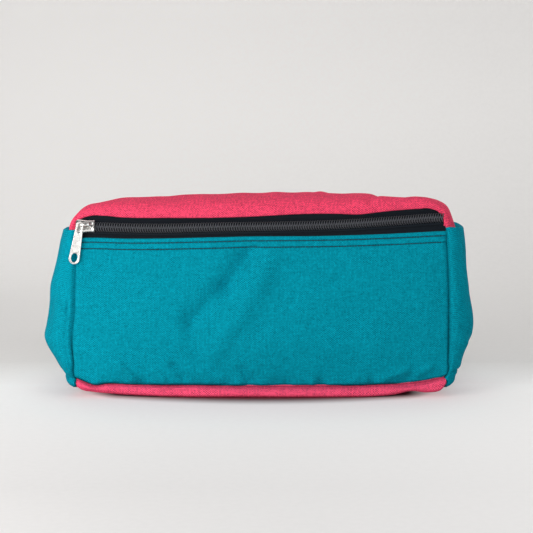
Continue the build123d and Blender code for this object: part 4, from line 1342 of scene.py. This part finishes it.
def back_panel():
    x, z = back_grid(0, spaced(-1, 1, 0.022, 0.008, 0.05), spaced(0, 1, 0.025, 0.01, 0.06))
    points = joined(x, HALF_DEPTH + back_out(x, z), z)
    piece = cloth_piece("back_panel", points, 1.0, black_mesh, grey_lining, joined(-x, z), flip=True)
    settle(piece, PACK, "black_mesh", "back_panel")


def back_foam():
    x, z = back_grid(3.0, np.linspace(-1, 1, 60), np.linspace(0, 1, 30))
    points = joined(x, HALF_DEPTH - 1.2 + 0.35 * back_out(x, z), z)
    piece = cloth_piece("back_foam", points, HALF_DEPTH - FOAM_FRONT - 1.6, foam, flip=True)
    settle(piece, PACK, "foam", "back_foam")


def back_lining():
    x, z = back_grid(1.5, np.linspace(-1, 1, 110), np.linspace(0, 1, 50))
    drape = 0.5 * ripple(x, z, 22, 95) + 0.25 * ripple(x, z, 9, 96)
    points = joined(x, FOAM_FRONT - 0.4 + np.clip(drape - 0.6, -1.2, 0), z)
    piece = cloth_piece("back_lining", points, 0.4, grey_lining)
    settle(piece, PACK, "grey_lining", "back_lining")


def back_stitches():
    """One row of stitching round the padded back."""
    half, low = BACK_HALF - BACK_ROW, BACK_FOOT + BACK_ROW
    x = np.linspace(-half, half, 300)
    slope = (back_top(x + 1) - back_top(x - 1)) / 2
    over = back_top(x) - BACK_ROW * np.sqrt(1 + slope**2)
    side = np.linspace(over[-1], low, 120)[1:]
    x = np.concatenate([x, np.full(119, half), np.linspace(half, -half, 160), np.full(119, -half)])
    z = np.concatenate([over, side, np.full(160, low), side[::-1]])
    line = joined(x, HALF_DEPTH + back_out(x, z), z)
    piece = seam_stitches("back_stitching", line, (0, 1, 0), STITCH_PITCH, 0.24, black_thread)
    settle(piece, PACK, "black_thread")


back_panel()
back_foam()
back_lining()
back_stitches()


# ---- Wings

WING_LENGTH = 28.0
WING_PUFF = 2.2          # half the padded thickness
WING_INSET = 1.5         # the wing's middle plane, in from the side seam
WING_TIP = 1.02          # where it ends, as a share of its length
WING_ROW = 3.4           # its topstitching, in from the edge
wing_half_height = smooth_line((0, 27.5), (0.2, 25.4), (0.5, 20.8), (0.8, 16.4), (0.95, 14.2), (1, 12.6))

# The belt's own frame: it falls a little from the wings to the buckle behind
BELT_MIDDLE = 36.0
BELT_SLOPE = 0.1211
BELT_BACK = np.array([0, math.cos(BELT_SLOPE), -math.sin(BELT_SLOPE)])
BELT_UP = np.array([0, math.sin(BELT_SLOPE), math.cos(BELT_SLOPE)])


def in_belt(x, back, up):
    """Points given across the pack, back along the belt's plane and up its width."""
    x, back, up = np.broadcast_arrays(np.asarray(x, float), back, up)
    origin = np.array([0, HALF_DEPTH, BELT_MIDDLE])
    sideways = x[..., None] * np.array([1.0, 0, 0])
    return origin + sideways + back[..., None] * BELT_BACK + up[..., None] * BELT_UP


def wing_thickness(share, across):
    """Half the wing's thickness: share along it, across from -1 to 1 over its height."""
    edge = (1 - np.abs(across)) * wing_half_height(share)
    end = (WING_TIP - share) * WING_LENGTH
    near = np.minimum(edge, end)
    puff = WING_PUFF * (1 - np.exp(-((np.clip(near, 0, None) / 4) ** 1.2)))
    groove = 0.45 * bell((near - WING_ROW) / 0.8)
    stuffed = np.clip(puff - groove, 0.0, None) * (0.45 + 0.55 * ease(share * 5))
    return stuffed + 0.35 * np.sqrt(np.clip(near / 1.2, 0, 1))


def wing_wave(share, up):
    """How far the wing's middle plane waves, outwards."""
    return 0.35 * ripple(share * WING_LENGTH, up, 12, 101) * ease(share * 3)


def wing(side):
    """A padded wing, sewn into the rear side seam and tapering to the belt."""
    share = np.concatenate([np.linspace(-0.09, 0.9, 26), np.linspace(0.92, WING_TIP, 8)])
    angle = np.linspace(-math.pi / 2, 1.5 * math.pi, 89)
    s, a = np.meshgrid(share, angle, indexing="ij")
    across = np.sin(a)
    up = across * wing_half_height(np.clip(s, 0, 1))
    half = wing_thickness(np.clip(s, 0, WING_TIP), across)
    half = half * np.sign(np.cos(a)) * (np.abs(np.cos(a)) > 1e-6)
    x = side * (HALF_WIDTH - WING_INSET + half + wing_wave(s, up))
    points = in_belt(x, s * WING_LENGTH, up)
    uv = joined(s * WING_LENGTH, np.where(np.cos(a) >= 0, up, 60 - up))
    faces = tube_faces(len(share), len(angle), wrap=False)
    if side < 0:
        faces = [face[::-1] for face in faces]
    name = sided("belt_wing", side)
    piece = mesh_piece(name, points.reshape(-1, 3), faces, [teal_cloth], uv.reshape(-1, 2), sharp=70)
    settle(piece, PACK, "teal_cloth", name)


def wing_stitches(side):
    """A row of stitching round each wing's edge, on its outer face."""
    share = np.linspace(0.03, WING_TIP - WING_ROW / WING_LENGTH, 70)
    over = wing_half_height(share) - WING_ROW
    tip = np.linspace(over[-1], -over[-1], 50)[1:]
    s = np.concatenate([share, np.full(49, share[-1]), share[::-1][1:]])
    up = np.concatenate([over, tip, -over[::-1][1:]])
    out = wing_thickness(s, up / wing_half_height(s)) + wing_wave(s, up)
    line = in_belt(side * (HALF_WIDTH - WING_INSET + out), s * WING_LENGTH, up)
    name = sided("wing_topstitch", side)
    piece = seam_stitches(name, line, (side, 0, 0), STITCH_PITCH, 0.25, teal_thread)
    settle(piece, PACK, "teal_thread")


for wing_side in (-1, 1):
    wing(wing_side)
    wing_stitches(wing_side)


# ---- Belt

BELT_WIDTH = 25.0
BELT_THICK = 1.6
BELT_REACH = 149.0       # back from the pack to the far run
BELT_CORNER = 52.0
BELT_TAIL = 10.0         # the folded end past the left corner
BELT_SIDE = HALF_WIDTH + BELT_THICK / 2
BELT_START = 14.0
PLY = 0.95               # half the spacing of two layers
WRAP = 2.15              # the webbing's middle, from the middle of a buckle's bar
REAR_WRAP = 1.65
STITCH_RISE = 0.02       # the sewn boxes lie this far off the webbing
BOX_STITCH = {"pitch": 2.4, "radius": 0.27, "material": black_thread, "gap": 0.35, "reach": 0.2}
TACK = (50.0, 54.5)      # the sewn end of the right half, from the pack's middle


def rounded_route(points, radii, step=1.2):
    """A line through points with an arc at each corner, as evenly spaced places."""
    points = np.array(points, float)
    route = [points[0]]
    for before, corner, after, radius in zip(points, points[1:], points[2:], radii):
        enter, leave = unit(before - corner), unit(after - corner)
        half = math.acos(np.clip(enter @ leave, -1, 1)) / 2
        reach = radius / math.tan(half)
        middle = corner + (enter + leave) / np.linalg.norm(enter + leave) * radius / math.sin(half)
        first, last = corner + enter * reach - middle, corner + leave * reach - middle
        turn = math.pi - 2 * half
        steps = max(3, int(radius * turn / 0.6))
        for share in np.linspace(0, 1, steps + 1):
            spoke = first * math.sin((1 - share) * turn) + last * math.sin(share * turn)
            route.append(middle + spoke / math.sin(turn))
    route.append(points[-1])
    route = np.array(route)
    steps = np.linalg.norm(np.diff(route, axis=0), axis=1)
    keep = np.concatenate([[True], steps > 1e-6])
    route, steps = route[keep], steps[steps > 1e-6]
    places = np.concatenate([[0], np.cumsum(steps)])
    dense = [0.0]
    for place, gap in zip(places[1:], steps):
        dense += list(np.linspace(dense[-1], place, max(1, int(math.ceil(gap / step))) + 1)[1:])
    dense = np.array(dense)
    return np.stack([np.interp(dense, places, route[:, i]) for i in (0, 1)], axis=-1), dense


def webbing(name, points, radii):
    """Flat webbing on its edge along a route, with rounded selvedges."""
    route, places = rounded_route(points, radii)
    tangent = unit(np.gradient(route, places, axis=0))
    across = joined(tangent[:, 1], -tangent[:, 0])
    half, wall = BELT_WIDTH / 2, BELT_THICK / 2
    section = [(-half, 0.0), (-half + 0.12, wall * 0.75)]
    section += [(u, wall) for u in np.linspace(-half + 0.5, half - 0.5, 12)]
    section += [(half - 0.12, wall * 0.75), (half, 0.0)]
    section += [(-u, -o) for u, o in section[1:]]
    section = np.array(section)
    swell = 1 - 0.04 * np.cos(section[:, 0] * 2 * math.pi / 4.2)
    offset = section[:, 1] * swell
    flat = route[:, None] + across[:, None] * offset[None, :, None]
    up = np.broadcast_to(section[:, 0], flat.shape[:2])
    points_3d = in_belt(flat[..., 0], flat[..., 1], up)
    uv = joined(np.broadcast_to(places[:, None], up.shape), up)
    faces = tube_faces(len(route), len(section), wrap=False)
    piece = mesh_piece(name, points_3d.reshape(-1, 3), faces, [black_webbing], uv.reshape(-1, 2))
    settle(piece, PACK, "black_webbing", name)


def belt():
    far, side, gentle, tight = BELT_REACH, BELT_SIDE, 2 * BELT_THICK, 0.75 * BELT_THICK
    right = [
        (side, BELT_START), (side, far - PLY), (46.0, far - PLY), (39.5, far - WRAP),
        (32.75, far - WRAP), (32.75, far + WRAP), (39.5, far + WRAP),
        (46.0, far + PLY), (58.5, far + PLY),
    ]
    webbing("belt_right", right, [BELT_CORNER, gentle, gentle, tight, tight, gentle, gentle])
    left = [
        (-side, BELT_START), (-side, far - PLY), (-32.0, far - PLY),
        (-26.0, far - REAR_WRAP), (-19.0, far - REAR_WRAP), (-14.3, far - WRAP), (-8.55, far - WRAP),
        (-8.55, far + WRAP), (-14.3, far + WRAP), (-19.0, far + REAR_WRAP), (-26.0, far + REAR_WRAP),
        (-32.0, far + PLY), (-side - 2 * PLY, far + PLY),
        (-side - 2 * PLY, far - BELT_CORNER - BELT_TAIL),
    ]
    radii = [BELT_CORNER] + [gentle] * 4 + [tight] * 2 + [gentle] * 4 + [BELT_CORNER + 2 * PLY]
    webbing("belt_left", left, radii)


def wing_boxes():
    """The sewn box and cross that hold the webbing to each wing, and the tack on the belt's end."""
    low, high, half = BELT_START + 2.0, WING_LENGTH - 2.5, BELT_WIDTH / 2 - 2.2
    a, b, c, d = (low, -half), (high, -half), (high, half), (low, half)
    route = [a, b, c, d, a, c, b, d]
    runs = np.concatenate([np.linspace(start, end, 40) for start, end in zip(route, route[1:])])
    for side in (-1, 1):
        line = in_belt(side * (HALF_WIDTH + BELT_THICK + STITCH_RISE), *runs.T)
        name = sided("wing_box", side)
        piece = seam_stitches(name, line, (side, 0, 0), **BOX_STITCH)
        settle(piece, PACK, "black_thread", *["wing_stitching"] * (side < 0))
    behind = BELT_REACH + PLY + BELT_THICK / 2 + STITCH_RISE
    ends = in_belt(np.repeat(TACK, 2), behind, np.array([-half, half, half, -half]))
    line = np.concatenate([np.linspace(*pair) for pair in zip(ends, ends[1:], (40, 10, 40))])
    piece = seam_stitches("belt_tack", line, BELT_BACK, **BOX_STITCH)
    settle(piece, PACK, "black_thread")


belt()
wing_boxes()


# ---- Buckle and keeper: the CAD bodies with eased edges


def moulded(node, radius):
    """Gives a CAD node rounded edges and its plastic."""
    piece = bpy.data.objects[node]
    weld = piece.modifiers.new("weld", "WELD")
    weld.merge_threshold = 0.01 * MM
    eased_edges(piece, radius, 3, 40)
    piece.data.materials.clear()
    piece.data.materials.append(black_plastic)


PLASTIC_EDGE = 0.45
PLASTIC_NODES = "buckle_socket", "buckle_plug", "buckle_prong_upper", "buckle_prong_lower", "belt_keeper"
for plastic_node in PLASTIC_NODES:
    moulded(plastic_node, PLASTIC_EDGE)


# ---- Stage, light and camera


def tinted(g, near, far, axis_value, start, end):
    """A colour that passes from one to another along a coordinate."""
    share = g.remap(axis_value, start, end, 0.0, 1.0)
    return g.node("Mix", {0: share, 6: near, 7: far}, data_type="RGBA").outputs[2]


FLOOR_COLOUR = (0.60, 0.588, 0.584, 1)
WALL_COLOUR = (0.80, 0.785, 0.77, 1)
WALL_START = 5.0
WALL_FULL = 75.0
FLOOR_LIFT = (0.05, 0.425)   # painted light: seen brightness added as glow at the left and at the right, in the foreground
BEYOND = (                   # further back: along what, from, to, and the painted light added there on both sides
    ("y", -250.0, 0.0, (0.4, 0.41)),
    ("y", 0.0, 80.0, (0.08, 0.11)),
    ("y", 170.0, 560.0, (0.215, 0.14)),
    ("z", 20.0, 150.0, (0.235, 0.19)),
)
BASE_SIDE = 90.0             # where the pack's base touches the floor
BASE_FRONT = 42.5
BASE_TAPER = 0.00185         # how much less far forward away from the middle, per square of the distance
PAINTED_CONTACT_SHADOW = (0.3, 0.08, 0.1, 1)   # painted contact shadow: the floor's colour there, darkened as shadow and reddened as light bounced from the pink cloth
CONTACT_REACH = 17.0
CONTACT_CLEAR = (4.5, 20.0)  # the lift starts this far from the pack, and is full this far from it
GLOW_NEAR = (1, 0.84, 0.845, 1)      # pink tint of the painted light by the pack, standing in for light bounced from the pink cloth
GLOW_FAR = (1, 0.985, 0.97, 1)       # and away from it
GLOW_REACH = (15.0, 75.0)            # it passes from one to the other here
FLOOR_SIDE = 250.0                   # how far left and right of the middle the lifts above are given
BEHIND_BACKDROP = 0.55    # pale where the camera looks past the backdrop


def sweep_material():
    """Pale matt paper: a brighter floor that passes into a slightly greyer wall."""
    g = Graph("backdrop")
    place = g.node("TexCoord").outputs["Object"]
    x, y, z = g.node("SeparateXYZ", {0: place}).outputs
    tone = tinted(g, FLOOR_COLOUR, WALL_COLOUR, y, WALL_START * MM, WALL_FULL * MM)
    grain = object_noise(g, 260.0, 3.0)
    beside = g.maximum(g.sub(g.absolute(x), BASE_SIDE * MM), 0.0)
    front = g.mul_add(g.mul(x, x), -BASE_TAPER / MM, BASE_FRONT * MM)
    before = g.maximum(g.sub(g.absolute(y), front), 0.0)
    away = g.math("SQRT", g.mul_add(beside, beside, g.mul(before, before)))
    # Painted contact shadow and painted pink bounce light on the floor by the pack's base.
    painted_contact_shadow = tinted(g, PAINTED_CONTACT_SHADOW, (1, 1, 1, 1), away, 0.0, CONTACT_REACH * MM)
    paper = g.remap(grain, 0.3, 0.7, 0.985, 1.015)
    g.colour(g.product(g.product(tone, painted_contact_shadow), g.at(paper, paper, paper)))
    # Painted light: the backdrop glows for camera and glossy rays, standing in for light on the floor
    # and the wall.
    # what the camera and polished surfaces see of it is lifted: more on the unlit side and up the wall,
    # and not next to the pack, where its shadow stays
    clear = g.remap(away, CONTACT_CLEAR[0] * MM, CONTACT_CLEAR[1] * MM, 0.0, 1.0)
    left, right = -FLOOR_SIDE * MM, FLOOR_SIDE * MM
    lift = g.remap(x, left, right, *FLOOR_LIFT)
    for value, start, end, ends in BEYOND:
        share = g.remap(y if value == "y" else z, start * MM, end * MM, 0.0, 1.0)
        lift = g.node("Mix", {0: share, 2: lift, 3: g.remap(x, left, right, *ends)}).outputs[0]
    lift = g.mul(lift, clear)
    rays = g.node("LightPath").outputs
    through = g.maximum(rays["Is Glossy Ray"], rays["Is Transmission Ray"])
    seen_by = g.maximum(rays["Is Camera Ray"], through)
    glow = tinted(g, GLOW_NEAR, GLOW_FAR, away, GLOW_REACH[0] * MM, GLOW_REACH[1] * MM)
    g.put(g.shader.inputs["Emission Color"], glow)
    g.put(g.shader.inputs["Emission Strength"], g.mul(lift, seen_by))
    behind = g.node("NewGeometry").outputs["Backfacing"]
    front_only = g.node("MixShader", {0: behind, 1: g.shader.outputs[0]})
    g.put(front_only.inputs[2], g.node("BsdfTransparent").outputs[0])
    g.put(g.tree.nodes["Material Output"].inputs[0], front_only.outputs[0])
    return g.finish(0.9, 0.1)


def sweep():
    near, bend, radius, top = -1600.0, 420.0, 260.0, 1500.0
    profile = [(y, 0.0) for y in np.linspace(near, bend, 12)]
    for angle in np.linspace(0, math.pi / 2, 16)[1:]:
        profile.append((bend + radius * math.sin(angle), radius * (1 - math.cos(angle))))
    profile += [(bend + radius, z) for z in np.linspace(radius, top, 6)[1:]]
    across = np.linspace(-1800, 1800, 9)
    points = np.array([(x, y, z) for y, z in profile for x in across])
    faces = grid_faces(len(profile), len(across))
    mesh_piece("backdrop", points, faces, [sweep_material()])


def area_light(name, place, target, size, power, colour):
    lamp = bpy.data.lights.new(name, "AREA")
    lamp.shape = "RECTANGLE"
    lamp.size, lamp.size_y = size[0] * MM, size[1] * MM
    lamp.energy = power
    lamp.color = colour
    holder = bpy.data.objects.new(name, lamp)
    holder.location = np.array(place) * MM
    aim = (np.array(target) - place) * MM
    holder.rotation_mode = "QUATERNION"
    holder.rotation_quaternion = Vector(aim).to_track_quat("-Z", "Y")
    bpy.context.scene.collection.objects.link(holder)


def world_light(strength, colour):
    world = bpy.data.worlds.new("soft_room")
    world.use_nodes = True
    world.node_tree.nodes["Background"].inputs["Color"].default_value = colour
    nodes, links = world.node_tree.nodes, world.node_tree.links
    level = nodes.new("ShaderNodeMath")
    level.operation = "MULTIPLY_ADD"
    links.new(nodes.new("ShaderNodeLightPath").outputs["Is Camera Ray"], level.inputs[0])
    level.inputs[1].default_value = BEHIND_BACKDROP
    level.inputs[2].default_value = strength
    links.new(level.outputs[0], nodes["Background"].inputs["Strength"])
    bpy.context.scene.world = world


CAMERA_PLACE = (3.4, -990, 203)
CAMERA_DOWN = 7.19        # degrees below level
FOCAL_LENGTH = 103.9


def camera():
    lens = bpy.data.cameras.new("camera")
    lens.sensor_width = 36
    lens.lens = FOCAL_LENGTH
    lens.clip_start, lens.clip_end = 0.05, 20
    holder = bpy.data.objects.new("camera", lens)
    holder.location = [v * MM for v in CAMERA_PLACE]
    holder.rotation_euler = (math.radians(90 - CAMERA_DOWN), 0, 0)
    bpy.context.scene.collection.objects.link(holder)
    bpy.context.scene.camera = holder


LAMPS = (    # name, place, what it points at, size, power in watts and colour
    ("key", (-430, -415, 210), (0, 0, 60), (360, 300), 2.5, (1.0, 0.99, 0.975)),
    ("fill", (900, -700, 500), (0, 0, 60), (900, 900), 3.7, (0.98, 0.99, 1.0)),
    ("front", (60, -1050, 150), (0, 0, 40), (800, 260), 1.6, (1.0, 1.0, 1.0)),
    ("overhead", (0, 250, 1100), (0, 60, 0), (1300, 1000), 5.3, (1.0, 0.995, 0.985)),
)

sweep()
for lamp_row in LAMPS:
    area_light(*lamp_row)
world_light(0.12, (0.97, 0.98, 1.0, 1))
camera()
bpy.context.scene.view_settings.view_transform = "Standard"
